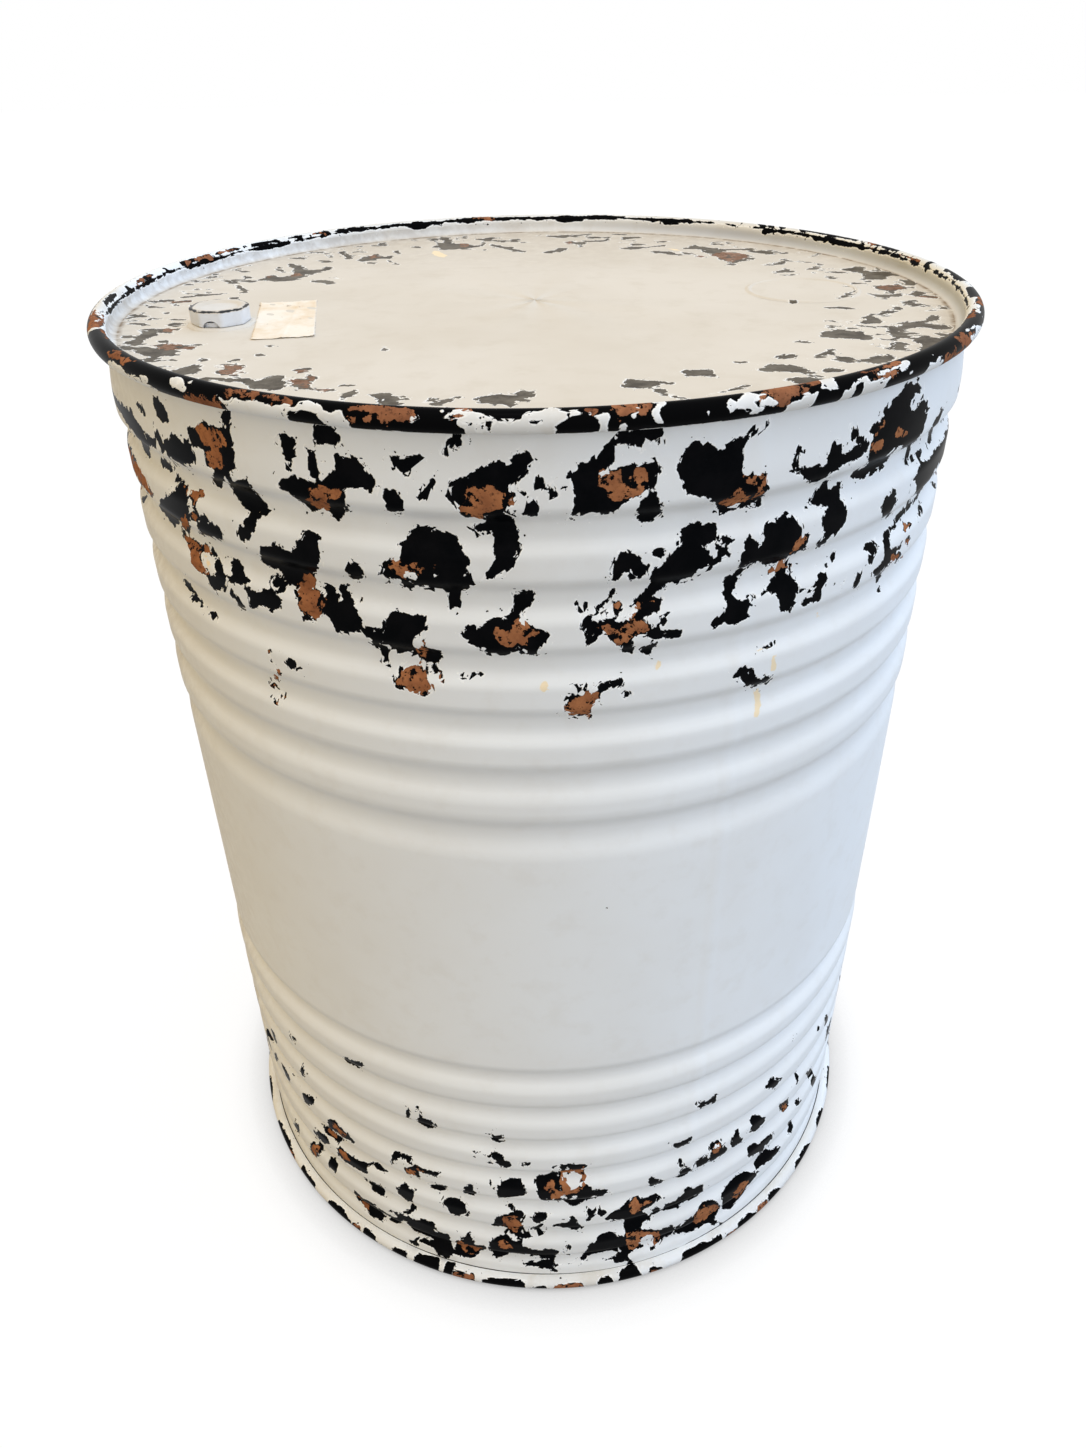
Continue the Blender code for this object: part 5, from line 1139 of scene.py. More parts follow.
def add_fields(thing, **given):
    count = len(thing.data.vertices)
    for name, plain in PLAIN_FIELDS.items():
        values = given.get(name, np.full(count, plain))
        layer = thing.data.attributes.new(name, "FLOAT", "POINT")
        layer.data.foreach_set("value", np.asarray(values, dtype=np.float32).ravel())


def round_points(azimuth, radius, height):
    turn = np.radians(azimuth)
    return np.stack([radius * np.sin(turn), -radius * np.cos(turn), height], axis=-1)


# Materials


class Nodes:
    """Short names for adding nodes to a tree and wiring them."""

    def __init__(self, tree):
        self.tree = tree

    def add(self, kind, **settings):
        node = self.tree.nodes.new(kind)
        for key, value in settings.items():
            setattr(node, key, value)
        return node

    def wire(self, value, socket):
        if hasattr(value, "links"):
            self.tree.links.new(value, socket)
        else:
            socket.default_value = value

    def math(self, operation, first, second=0.0, third=0.0):
        node = self.add("ShaderNodeMath", operation=operation)
        self.wire(first, node.inputs[0])
        self.wire(second, node.inputs[1])
        self.wire(third, node.inputs[2])
        return node.outputs[0]

    def seen(self):
        # 1 for rays from the camera and for those that mirror or pass through a surface.
        path = self.add("ShaderNodeLightPath")
        direct = self.math("MAXIMUM", path.outputs["Is Camera Ray"], path.outputs["Is Glossy Ray"])
        return self.math("MAXIMUM", direct, path.outputs["Is Transmission Ray"])

    def ramp(self, value, low, high):
        # 0 at low, 1 at high, straight between and clamped.
        node = self.add("ShaderNodeMapRange")
        self.wire(value, node.inputs["Value"])
        node.inputs["From Min"].default_value = low
        node.inputs["From Max"].default_value = high
        return node.outputs["Result"]

    def mix(self, share, first, second):
        node = self.add("ShaderNodeMix", data_type="RGBA")
        self.wire(share, node.inputs["Factor"])
        self.wire(first, node.inputs[6])
        self.wire(second, node.inputs[7])
        return node.outputs[2]

    def blend(self, share, first, second):
        # One shader over another, by share.
        node = self.add("ShaderNodeMixShader")
        self.wire(share, node.inputs[0])
        self.wire(first, node.inputs[1])
        self.wire(second, node.inputs[2])
        return node.outputs[0]


class Paint(Nodes):
    """A new material, with textures that keep to its object."""

    def __init__(self, name):
        self.material = bpy.data.materials.new(name)
        self.material.use_nodes = True
        super().__init__(self.material.node_tree)
        self.shader = self.tree.nodes["Principled BSDF"]
        self.coordinates = self.add("ShaderNodeTexCoord").outputs["Object"]

    def noise(self, scale, detail=3.0, roughness=0.55):
        node = self.add("ShaderNodeTexNoise")
        self.wire(self.coordinates, node.inputs["Vector"])
        node.inputs["Scale"].default_value = scale
        node.inputs["Detail"].default_value = detail
        node.inputs["Roughness"].default_value = roughness
        return node.outputs["Fac"]

    def cells(self, scale, stretch):
        # A random level for each cell of a cracked pattern, 0 to 1.
        mapping = self.add("ShaderNodeMapping")
        mapping.inputs["Scale"].default_value = stretch
        self.wire(self.coordinates, mapping.inputs["Vector"])
        node = self.add("ShaderNodeTexVoronoi")
        self.wire(mapping.outputs["Vector"], node.inputs["Vector"])
        node.inputs["Scale"].default_value = scale
        split = self.add("ShaderNodeSeparateColor")
        self.wire(node.outputs["Color"], split.inputs[0])
        return split.outputs["Red"]

    def field(self, name):
        node = self.add("ShaderNodeAttribute", attribute_type="GEOMETRY", attribute_name=name)
        return node.outputs["Fac"]

    def bump(self, height, distance):
        node = self.add("ShaderNodeBump")
        node.inputs["Distance"].default_value = distance
        self.wire(height, node.inputs["Height"])
        return node.outputs["Normal"]

    def set(self, **values):
        # Sets or wires the shader's sockets, named with underscores for spaces.
        for name, value in values.items():
            self.wire(value, self.shader.inputs[name.replace("_", " ")])


def srgb(red, green, blue):
    def linear(value):
        value = value / 255.0
        return value / 12.92 if value <= 0.04045 else ((value + 0.055) / 1.055) ** 2.4

    return (linear(red), linear(green), linear(blue), 1.0)


RIM_WHITE = srgb(238, 239, 238)
RIM_RUST_TONES = (srgb(128, 82, 58), srgb(168, 112, 78), srgb(88, 58, 44))
# Painted shade: darker and bluer on the wall inside the chime
CHUCK_SHADE_BLUE = srgb(176, 187, 206)
# Brown for dirt, and for painted shade in the panel's corner
GRIME_AND_SHADE = srgb(132, 112, 90)
# Painted highlight along the lips of chips
LIP_HIGHLIGHT = srgb(255, 254, 250)
CREAM = srgb(246, 226, 190)

# How ragged the chips' edges are on the chime, and the noise behind specks and rust's holes
RIM_RAGGED = 0.45
SPECK_SIZE = 26.0
HOLE_SIZE = 22.0
HOLE_LEVEL = 0.575


def rust_colour(nodes, deep, bright, dark):
    # Brown that varies from deep to bright, with dark specks.
    coarse = nodes.noise(70.0, 4.0, 0.65)
    fine = nodes.noise(420.0, 3.0, 0.6)
    body = nodes.mix(nodes.ramp(coarse, 0.35, 0.65), deep, bright)
    return nodes.mix(nodes.ramp(fine, 0.55, 0.7), body, dark)


def worn_share(nodes, scale, low, high, share):
    # Patches of wear from noise, none below low and the full share above high.
    return nodes.math("MULTIPLY", nodes.ramp(nodes.noise(scale, 4.0, 0.6), low, high), share)


def wobble(nodes, scale, detail, size):
    # Noise in millimetres, either side of nothing.
    return nodes.math("MULTIPLY_ADD", nodes.noise(scale, detail, 0.6), size, -0.5 * size)


def cracked(nodes, scale, stretch, size):
    # Steps in millimetres, either side of nothing, one level to a cell.
    return nodes.math("MULTIPLY_ADD", nodes.cells(scale, stretch), size, -0.5 * size)


def chip_edge(nodes, rim, stretch, ragged, spread, specks):
    # Millimetres inside the nearest chip, its edge broken up by noise and cracked cells.
    chip = nodes.field("chip")
    offset = nodes.math("ADD", wobble(nodes, 75.0, 2.0, 4.5), wobble(nodes, 220.0, 2.0, 2.6))
    offset = nodes.math("ADD", offset, cracked(nodes, 190.0, stretch, 3.2))
    offset = nodes.math("ADD", offset, cracked(nodes, 480.0, stretch, 1.1))
    offset = nodes.math("ADD", offset, spread)
    size = nodes.math("MULTIPLY_ADD", rim, RIM_RAGGED - ragged, ragged)
    edge = nodes.math("MULTIPLY_ADD", offset, size, chip)
    outside = nodes.math("MINIMUM", chip, 0.0)
    speck = nodes.math("MULTIPLY_ADD", nodes.noise(300.0, 2.0, 0.5), SPECK_SIZE,
                       -SPECK_SIZE * specks)
    speck = nodes.math("MULTIPLY_ADD", outside, 0.5, speck)
    return nodes.math("MAXIMUM", edge, speck)


def rusty_share(nodes, bare):
    # Rust inside its outlines, with holes, and only where the paint is off.
    rust_edge = nodes.math("ADD", nodes.field("rust"), wobble(nodes, 110.0, 4.0, 16.0))
    holes = nodes.math("MULTIPLY_ADD", nodes.noise(150.0, 4.0, 0.65), -HOLE_SIZE,
                       HOLE_SIZE * HOLE_LEVEL)
    rust_edge = nodes.math("MINIMUM", rust_edge, holes)
    return nodes.math("MULTIPLY", nodes.ramp(rust_edge, -0.15, 0.15), bare)


def worn_paint(nodes, rim, edge, white, worn, rim_white):
    # The paint's colour: worn, with painted shade (darker and bluer) on the wall inside the chime,
    #  dirt and painted shade from the dirt field, and a painted highlight along the lip of each
    #  chip.
    paint = nodes.mix(rim, white, rim_white)
    paint = nodes.mix(worn_share(nodes, 6.5, 0.4, 0.7, 0.5), paint, worn)
    paint = nodes.mix(worn_share(nodes, 48.0, 0.52, 0.7, 0.35), paint, worn)
    # Painted shade on the wall inside the chime, stronger towards the right
    chuck_shade_share = nodes.math("MULTIPLY", nodes.field("chuck"), 0.55)
    paint = nodes.mix(chuck_shade_share, paint, CHUCK_SHADE_BLUE)
    patches = nodes.ramp(nodes.noise(130.0, 4.0, 0.6), 0.3, 0.6)
    # Dirt, and painted shade in the panel's corner, in patches
    paint = nodes.mix(nodes.math("MULTIPLY", nodes.field("dirt"), patches), paint, GRIME_AND_SHADE)
    # Painted highlight along the lip of each chip
    lip_highlight = nodes.math("MULTIPLY", nodes.ramp(edge, -1.2, -0.4), 0.7)
    return nodes.mix(lip_highlight, paint, LIP_HIGHLIGHT)


def chipped_paint(name, white, worn, primer, dusty_primer, rim_primer, rust_tones, stretch,
                  ragged, spread, specks):
    # Paint over primer over rust, split by the chip and rust fields.
    nodes = Paint(name)
    rim = nodes.field("rim")
    edge = chip_edge(nodes, rim, stretch, ragged, spread, specks)
    bare = nodes.ramp(edge, -0.12, 0.12)
    rusty = rusty_share(nodes, bare)

    paint = worn_paint(nodes, rim, edge, white, worn, RIM_WHITE)
    dusty = nodes.ramp(nodes.noise(60.0, 5.0, 0.7), 0.42, 0.62)
    dark = nodes.mix(rim, nodes.mix(dusty, primer, dusty_primer), rim_primer)
    rust = nodes.mix(rim, rust_colour(nodes, *rust_tones), rust_colour(nodes, *RIM_RUST_TONES))
    colour = nodes.mix(bare, paint, nodes.mix(rusty, dark, rust))
    cream = nodes.math("ADD", nodes.field("cream"), wobble(nodes, 240.0, 3.0, 4.0))
    colour = nodes.mix(nodes.ramp(cream, -0.3, 0.3), colour, CREAM)

    rough = nodes.math("MULTIPLY_ADD", bare, -0.1, 0.42)
    rough = nodes.math("MULTIPLY_ADD", rusty, 0.4, rough)

    step = nodes.math("MULTIPLY", nodes.ramp(edge, -0.5, 0.35), -1.0)
    grain = nodes.math("MULTIPLY", nodes.noise(520.0, 3.0, 0.6), rusty)
    height = nodes.math("MULTIPLY_ADD", grain, 0.6, step)
    height = nodes.math("MULTIPLY_ADD", nodes.noise(26.0, 3.0, 0.5), 0.35, height)
    nodes.set(Base_Color=colour, Roughness=rough, IOR=1.07, Normal=nodes.bump(height, 0.00025))
    return nodes.material


def shell_material():
    return chipped_paint(
        "shell_paint",
        white=srgb(238, 239, 238),
        worn=srgb(229, 227, 222),
        primer=srgb(6, 7, 9),
        dusty_primer=srgb(12, 12, 14),
        rim_primer=srgb(6, 7, 9),
        rust_tones=(srgb(142, 90, 60), srgb(176, 116, 76), srgb(96, 62, 44)),
        stretch=(1.0, 1.0, 0.62),
        ragged=1.0,
        spread=0.55,
        specks=0.64,
    )


def head_material(name):
    return chipped_paint(
        name,
        white=srgb(223, 215, 202),
        worn=srgb(208, 198, 181),
        primer=srgb(112, 105, 93),
        dusty_primer=srgb(78, 71, 62),
        rim_primer=srgb(8, 8, 9),
        rust_tones=(srgb(120, 90, 73), srgb(160, 130, 111), srgb(84, 66, 56)),
        stretch=(0.7, 1.0, 1.0),
        ragged=1.15,
        spread=0.1,
        specks=0.66,
    )


def plain_material(name, colour, other, roughness, metallic, scale):
    nodes = Paint(name)
    spots = nodes.ramp(nodes.noise(scale, 5.0, 0.6), 0.35, 0.7)
    rough = nodes.math("MULTIPLY_ADD", nodes.noise(scale * 2.0, 3.0), 0.2, roughness - 0.1)
    nodes.set(
        Base_Color=nodes.mix(spots, colour, other),
        Roughness=rough,
        Metallic=metallic,
        Normal=nodes.bump(nodes.noise(scale * 6.0, 3.0), 0.0001),
    )
    return nodes.material


def label_material():
    nodes = Paint("label_paper")
    stain = nodes.ramp(nodes.noise(42.0, 5.0, 0.62), 0.42, 0.7)
    blotch = nodes.ramp(nodes.noise(16.0, 3.0, 0.5), 0.54, 0.78)
    spot = nodes.ramp(nodes.noise(150.0, 3.0, 0.55), 0.68, 0.73)
    paper = nodes.mix(stain, srgb(247, 238, 223), srgb(232, 208, 174))
    paper = nodes.mix(blotch, paper, srgb(222, 190, 148))
    paper = nodes.mix(spot, paper, srgb(122, 92, 62))
    nodes.set(Base_Color=paper, Roughness=0.75, Normal=nodes.bump(nodes.noise(90.0, 4.0), 0.0006))
    return nodes.material


# Pieces


def wall_rows():
    rows = [np.linspace(low, high, int(round((high - low) / step)) + 1)[:-1]
            for low, high, step in WALL_SPANS]
    return np.concatenate(rows + [np.array([WALL_TOP])])


def make_wall(look):
    rows = wall_rows()
    a, z = np.meshgrid(azimuth_steps(0.45, 1.0, 65.0), rows)
    radius = smooth_between(wall_control_points(), rows)[:, None] + np.zeros(a.shape)
    radius += gentle_dents(a, z, 5, 0.35)
    from_weld = np.radians(np.abs(wrap(a - WELD_AZIMUTH))) * PLAIN_RADIUS
    radius += WELD_RISE * np.exp(-((from_weld / WELD_HALF_WIDTH) ** 4))
    wall = grid_mesh("drum_wall", round_points(a, radius, z))

    a, z = on_plain_wall(wrap(a), radius, z)
    chips = field_round(a, z, all_round(UPPER_CHIPS + LOWER_CHIPS), READ_RADIUS)
    rust = field_round(a, z, all_round(UPPER_RUST + LOWER_RUST), READ_RADIUS)
    islands = field_round(a, z, all_round(UPPER_ISLANDS + LOWER_ISLANDS), READ_RADIUS)
    add_fields(
        wall,
        chip=np.minimum(np.maximum(chips, rust), -islands),
        rust=rust,
        cream=field_round(a, z, WALL_CREAM, READ_RADIUS),
        # Darker and browner in patches towards the wall's left edge
        dirt=0.26 * np.exp(-(((a + 72.0) / 15.0) ** 2)),
    )
    wall.data.materials.append(look)
    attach(wall, "drum")
    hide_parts("drum_shell")


def bead_section():
    # The chime's section as (radius, height, mm round the bead from its top outwards),
    # from the panel's corner over the top and under the outside.
    points = []
    for angle in np.linspace(180.0, -118.0, 50):
        turn = math.radians(angle)
        points.append((
            BEAD_RADIUS + BEAD_HALF_WIDTH * math.cos(turn),
            HEIGHT - BEAD_HALF_HEIGHT + BEAD_HALF_HEIGHT * math.sin(turn),
            math.radians(90.0 - angle) * (BEAD_HALF_WIDTH + BEAD_HALF_HEIGHT) / 2,
        ))
    return points


def head_section():
    # Panel, rounded corner, chuck wall and bead of a top head.
    points = [(radius, PANEL_Z, -40.0) for radius in np.linspace(0.0, 150.0, 14)]
    points += [(radius, PANEL_Z, -40.0)
               for radius in np.linspace(150.0, CHUCK_RADIUS - PANEL_CORNER, 42)[1:]]
    for angle in np.linspace(0.0, 90.0, 8)[1:]:
        turn = math.radians(angle)
        points.append((
            CHUCK_RADIUS - PANEL_CORNER + PANEL_CORNER * math.sin(turn),
            PANEL_Z + PANEL_CORNER * (1.0 - math.cos(turn)),
            -20.0 + 8.0 * angle / 90.0,
        ))
    return points + bead_section()


def random_rim(seed, azimuth_low, azimuth_high, share):
    # White islands along an unseen stretch of the chime.
    rng = np.random.default_rng(seed)
    found = []
    place = azimuth_low
    while place < azimuth_high:
        width = rng.uniform(0.8, 4.2)
        low = rng.uniform(1.0, 12.0)
        tall = rng.uniform(2.5, 8.0)
        skew = rng.uniform(-0.8, 0.8)
        found.append([
            (place, low + tall * 0.4), (place + width * 0.3, low),
            (place + width, low + tall * 0.2), (place + width * 0.8 + skew, low + tall),
            (place + width * 0.3 + skew, low + tall * 0.8),
        ])
        place += width + rng.uniform(0.5, 3.0) / share
    return found


def scattered_flakes(seed, count):
    # Small chips round the panel, thickest where the big ones are.
    rng = np.random.default_rng(seed)
    places = [-180, -150, -120, -90, -60, -30, 0, 30, 60, 90, 120, 150, 180]
    weights = [0.45, 0.7, 1.0, 0.7, 1.0, 0.6, 0.15, 0.45, 1.0, 1.0, 1.0, 0.7, 0.45]
    found = []
    while len(found) < count:
        azimuth = rng.uniform(-180.0, 180.0)
        if rng.uniform() > np.interp(azimuth, places, weights):
            continue
        radius = 274.0 - abs(rng.normal(0.0, 30.0))
        x = radius * math.sin(math.radians(azimuth))
        y = -radius * math.cos(math.radians(azimuth))
        long = rng.uniform(2.0, 10.0)
        thick = rng.uniform(1.0, 4.5)
        turn = rng.normal(0.0, 0.5)
        outline = []
        for angle in np.sort(rng.uniform(0.0, 2 * math.pi, 7)):
            reach = rng.uniform(0.6, 1.1)
            u = long * reach * math.cos(angle)
            v = thick * reach * math.sin(angle)
            outline.append((x + u * math.cos(turn) - v * math.sin(turn),
                            y + u * math.sin(turn) + v * math.cos(turn)))
        found.append(outline)
    return found


def panel_fields(x, y):
    read_y = y + READ_SHIFT
    chips = field_flat(x, read_y, PANEL_CHIPS + scattered_flakes(3, 170))
    rust = field_flat(x, read_y, PANEL_RUST)
    return np.maximum(chips, rust), rust, field_flat(x, read_y, PANEL_CREAM)


def top_rim_fields(a, s):
    # Chip and rust on the top chime. Its front is bare but for the paint left there, and its
    # back is painted where no random patch is bare.
    rust = field_round(a, s, RIM_RUST + random_rim(22, 80.0, 280.0, 0.35), BEAD_RADIUS)
    ahead = BEAD_RADIUS * np.radians(66.5 - np.abs(wrap(a)))
    holes = field_round(a, s, RIM_HOLES, BEAD_RADIUS)
    whites = np.minimum(field_round(a, s, RIM_ISLANDS, BEAD_RADIUS), -holes)
    front = np.minimum(np.minimum(s + 4.5, 15.5 - s), ahead)
    front = np.minimum(front, -whites)
    left_behind = field_round(a, s, random_rim(21, 80.0, 280.0, 1.0), BEAD_RADIUS)
    behind = np.minimum(np.minimum(s - 2.5, 15.5 - s), -ahead)
    behind = np.minimum(behind, -left_behind)
    marks = field_round(a, s, RIM_BLACK_BACK, BEAD_RADIUS)
    chips = np.maximum(np.maximum(front, behind), np.maximum(marks, rust))
    return np.minimum(chips, -field_round(a, s, RIM_CURLS, BEAD_RADIUS)), rust


def foot_rim_fields(a, s):
    # Chip and rust on the foot chime, which is bare underneath.
    reach = s / FOOT_STRETCH
    rust = field_round(a, reach, all_round(FOOT_RUST), BEAD_RADIUS)
    chips = field_round(a, reach, all_round(FOOT_CHIPS), BEAD_RADIUS)
    return np.maximum(np.maximum(chips, rust), FOOT_BARE - s), rust


def panel_dirt(r, y, z, s):
    # Painted shade: a dark line in the corner, fading inwards. The panel is also a little darker
    #  towards the back.
    edge = r - (CHUCK_RADIUS - PANEL_CORNER)
    on_panel = s < PANEL_END
    dirt = 0.75 * np.exp(-(edge ** 2)) * (z < PANEL_Z + 1.5)
    dirt += 0.2 * np.exp(-np.abs(np.minimum(edge, 0.0)) / 14.0) * on_panel
    return dirt + 0.16 * rise(y, 60.0, 260.0) * on_panel


def make_head(name, look, top):
    # The top head, or the same section turned over as the foot.
    fine, coarse = (0.4, 0.6) if top else (0.6, 1.2)
    section = np.array(head_section())
    a, r = np.meshgrid(azimuth_steps(fine, coarse, 68.0), section[:, 0])
    z = section[:, 1:2] + np.zeros(a.shape)
    s = section[:, 2:3] + np.zeros(a.shape)
    z += rise(r, CHUCK_RADIUS - 12.0, CHUCK_RADIUS - 42.0) * gentle_dents(a, r, 11, 0.25)
    if not top:
        z = HEIGHT - z
    points = round_points(a, r, z)
    if top:
        # The rows run outwards, so they are turned round to face up.
        points, a, r, z, s = points[::-1], a[::-1], r[::-1], z[::-1], s[::-1]
    head = grid_mesh(name, points)

    x = r * np.sin(np.radians(a))
    y = -r * np.cos(np.radians(a))
    if top:
        chips, rust, cream = panel_fields(x, y)
        rim_chips, rim_rust = top_rim_fields(a, s)
        dirt = panel_dirt(r, y, z, s)
    else:
        chips = rust = cream = np.full(a.shape, -FAR)
        rim_chips, rim_rust = foot_rim_fields(a, s)
        dirt = np.zeros(a.shape)
    # Darker towards the left on the corner and the wall inside the chime
    dirt += 0.3 * rise(s, -22.0, -18.0) * (s < -9.0) * rise(x, 75.0, -175.0)
    chuck_wall = rise(s, -20.0, RIM_START) * rise(s, -6.0, -10.0)
    on_rim = s > PANEL_END
    add_fields(
        head,
        chip=np.where(on_rim, rim_chips, chips),
        rust=np.where(on_rim, rim_rust, rust),
        cream=np.where(on_rim, -FAR, cream),
        rim=rise(s, PANEL_END, RIM_START),
        dirt=dirt,
        # Painted shade on the wall inside the chime, growing towards the right
        chuck=chuck_wall * rise(x, 20.0, 170.0),
    )
    head.data.materials.append(look)
    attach(head, "drum")
    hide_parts("top_head" if top else "bottom_head")


def octagon_radius(azimuth, apothem, corner_azimuth, rounding):
    # Radius of an octagon at each angle from +X, its corners rounded off.
    away = (azimuth - corner_azimuth + 22.5) % 45.0 - 22.5
    flat = apothem / np.cos(np.radians(22.5 - np.abs(away)))
    return np.minimum(flat, apothem / math.cos(math.radians(22.5)) - rounding)


def lofted(name, rings, count, corner_azimuth, x, y, z):
    # Rings as (apothem, height, roundness from 0 octagon to 1 circle, corner rounding).
    angle = np.linspace(0.0, 360.0, count, endpoint=False)
    rows = []
    for apothem, height, roundness, rounding in rings:
        shape = octagon_radius(angle, apothem, corner_azimuth, rounding)
        radius = shape * (1.0 - roundness) + apothem * roundness
        turn = np.radians(angle)
        rows.append(np.stack([x + radius * np.cos(turn), y + radius * np.sin(turn),
                              z + height + np.zeros(count)], axis=-1))
    return grid_mesh(name, np.array(rows))


def plug_rings():
    # The plug from the middle of its dished top, over its rim and down its threaded stem.
    bottom = PLUG_BASE
    top = bottom + PLUG_HEIGHT
    a = PLUG_APOTHEM
    rings = [
        (0.01, top - 1.5, 1.0, 0.0), (6.0, top - 1.5, 1.0, 0.0), (11.6, top - 1.4, 1.0, 0.0),
        (13.2, top - 0.9, 1.0, 0.0), (14.3, top - 0.15, 0.9, 0.0), (14.9, top, 0.7, 0.0),
        (a - 0.9, top, 0.0, 0.6), (a - 0.5, top - 0.08, 0.0, 0.5), (a - 0.12, top - 0.4, 0.0, 0.4),
        (a, top - 0.9, 0.0, 0.35), (a, top - 2.5, 0.0, 0.35), (a, bottom + 2.5, 0.0, 0.35),
        (a, bottom + 0.6, 0.0, 0.35), (a - 0.3, bottom, 0.0, 0.4),
        (COUNTERBORE_RADIUS + 0.3, bottom, 1.0, 0.0), (COUNTERBORE_RADIUS, bottom + 0.3, 1.0, 0.0),
        (COUNTERBORE_RADIUS, STEM_SHOULDER, 1.0, 0.0), (STEM_RADIUS, STEM_SHOULDER, 1.0, 0.0),
    ]
    tip = STEM_SHOULDER - STEM_LENGTH
    height = STEM_SHOULDER - 0.8
    while height - THREAD_PITCH > tip + 0.4:
        rings.append((STEM_RADIUS - 0.9, height, 1.0, 0.0))
        rings.append((STEM_RADIUS, height - THREAD_PITCH * 0.4, 1.0, 0.0))
        rings.append((STEM_RADIUS, height - THREAD_PITCH * 0.6, 1.0, 0.0))
        height -= THREAD_PITCH
    rings += [
        (STEM_RADIUS - 0.9, tip + 0.2, 1.0, 0.0), (STEM_RADIUS - 1.2, tip, 1.0, 0.0),
        (9.5, tip, 1.0, 0.0), (9.5, STEM_SHOULDER - 2.0, 1.0, 0.0),
        (0.01, STEM_SHOULDER - 2.0, 1.0, 0.0),
    ]
    return rings


def notch_cutter():
    # A flattened disc that bites into the foot of one facet.
    facet = math.radians(PLUG_CORNER - 22.5)
    middle = PLUG_APOTHEM - NOTCH_BITE + NOTCH_CUTTER_DEPTH / 2
    place = Matrix.Translation(Vector((
        (PLUG_X + middle * math.cos(facet)) * MM,
        (PLUG_Y + middle * math.sin(facet)) * MM,
        (PANEL_Z + PLUG_BASE) * MM,
    )))
    turn = Matrix.Rotation(facet, 4, "Z")
    flatten = Matrix.Diagonal(NOTCH_SQUASH)
    lie = Matrix.Rotation(math.pi / 2, 4, "Y")
    disc = bmesh.new()
    bmesh.ops.create_cone(
        disc,
        cap_ends=True,
        segments=48,
        radius1=NOTCH_RADIUS * MM,
        radius2=NOTCH_RADIUS * MM,
        depth=NOTCH_CUTTER_DEPTH * MM,
        matrix=place @ turn @ flatten @ lie,
    )
    mesh = bpy.data.meshes.new("notch_cutter")
    disc.to_mesh(mesh)
    disc.free()
    cutter = bpy.data.objects.new("notch_cutter", mesh)
    bpy.context.scene.collection.objects.link(cutter)
    return cutter


def cut(piece, cutter):
    # Cuts the cutter's shape out of the piece for good, and deletes the cutter.
    before = piece.data
    step = piece.modifiers.new("cut", "BOOLEAN")
    step.object = cutter
    step.operation = "DIFFERENCE"
    bpy.context.view_layer.update()
    graph = bpy.context.evaluated_depsgraph_get()
    result = bpy.data.meshes.new_from_object(piece.evaluated_get(graph))
    piece.modifiers.clear()
    piece.data = result
    bpy.data.meshes.remove(before)
    bpy.data.objects.remove(cutter, do_unlink=True)


def make_plug(look):
    plug = lofted("screw_plug", plug_rings(), 160, PLUG_CORNER, PLUG_X, PLUG_Y, PANEL_Z)
    cut(plug, notch_cutter())
    plug.data.shade_smooth()
    plug.data.set_sharp_from_angle(angle=math.radians(28))
    plug.data.materials.clear()
    plug.data.materials.append(look)
    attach(plug, "plug")
    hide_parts("bung_plug")


def plug_material():
    # White paint, dusty on top, worn to black along the top edge, and a little darker at its foot.
    nodes = Paint("plug_paint")
    split = nodes.add("ShaderNodeSeparateXYZ")
    nodes.wire(nodes.coordinates, split.inputs[0])
    up = split.outputs["Z"]
    top = (PANEL_Z + PLUG_BASE + PLUG_HEIGHT) * MM
    x = nodes.math("SUBTRACT", split.outputs["X"], PLUG_X * MM)
    y = nodes.math("SUBTRACT", split.outputs["Y"], PLUG_Y * MM)
    squared = nodes.math("ADD", nodes.math("MULTIPLY", x, x), nodes.math("MULTIPLY", y, y))
    away = nodes.math("SQRT", squared)

    from_edge = nodes.math("ABSOLUTE", nodes.math("SUBTRACT", up, top - 0.6 * MM))
    near_edge = nodes.math("SUBTRACT", 1.0, nodes.math("MULTIPLY", from_edge, 0.9 / MM))
    ragged = nodes.math("MULTIPLY_ADD", nodes.noise(260.0, 4.0, 0.6), 2.4, -1.35)
    outer = nodes.ramp(away, 16.4 * MM, 17.4 * MM)
    worn = nodes.math("MULTIPLY", nodes.math("ADD", near_edge, ragged), outer)
    left = nodes.ramp(x, -14.5 * MM, -17.0 * MM)
    high = nodes.ramp(up, top - 3.6 * MM, top - 1.6 * MM)
    worn = nodes.math("MULTIPLY_ADD", nodes.math("MULTIPLY", left, high), 0.5, worn)

    on_top = nodes.ramp(up, top - 1.9 * MM, top - 1.2 * MM)
    dusty = nodes.math("MULTIPLY", nodes.ramp(nodes.noise(60.0), 0.45, 0.8), 0.35)
    # A little darker at the plug's foot, next to the seat
    darker_foot = nodes.ramp(up, (PANEL_Z + 2.0) * MM, (PANEL_Z + 1.6) * MM)
    paint = nodes.mix(on_top, srgb(226, 228, 231), srgb(216, 207, 193))
    paint = nodes.mix(dusty, paint, srgb(186, 182, 174))
    colour = nodes.mix(nodes.ramp(worn, 0.15, 0.4), paint, srgb(34, 35, 37))
    colour = nodes.mix(nodes.math("MULTIPLY", darker_foot, 0.25), colour, srgb(80, 78, 74))
    nodes.set(Base_Color=colour, Roughness=0.38, Normal=nodes.bump(nodes.noise(120.0), 0.0003))
    return nodes.material


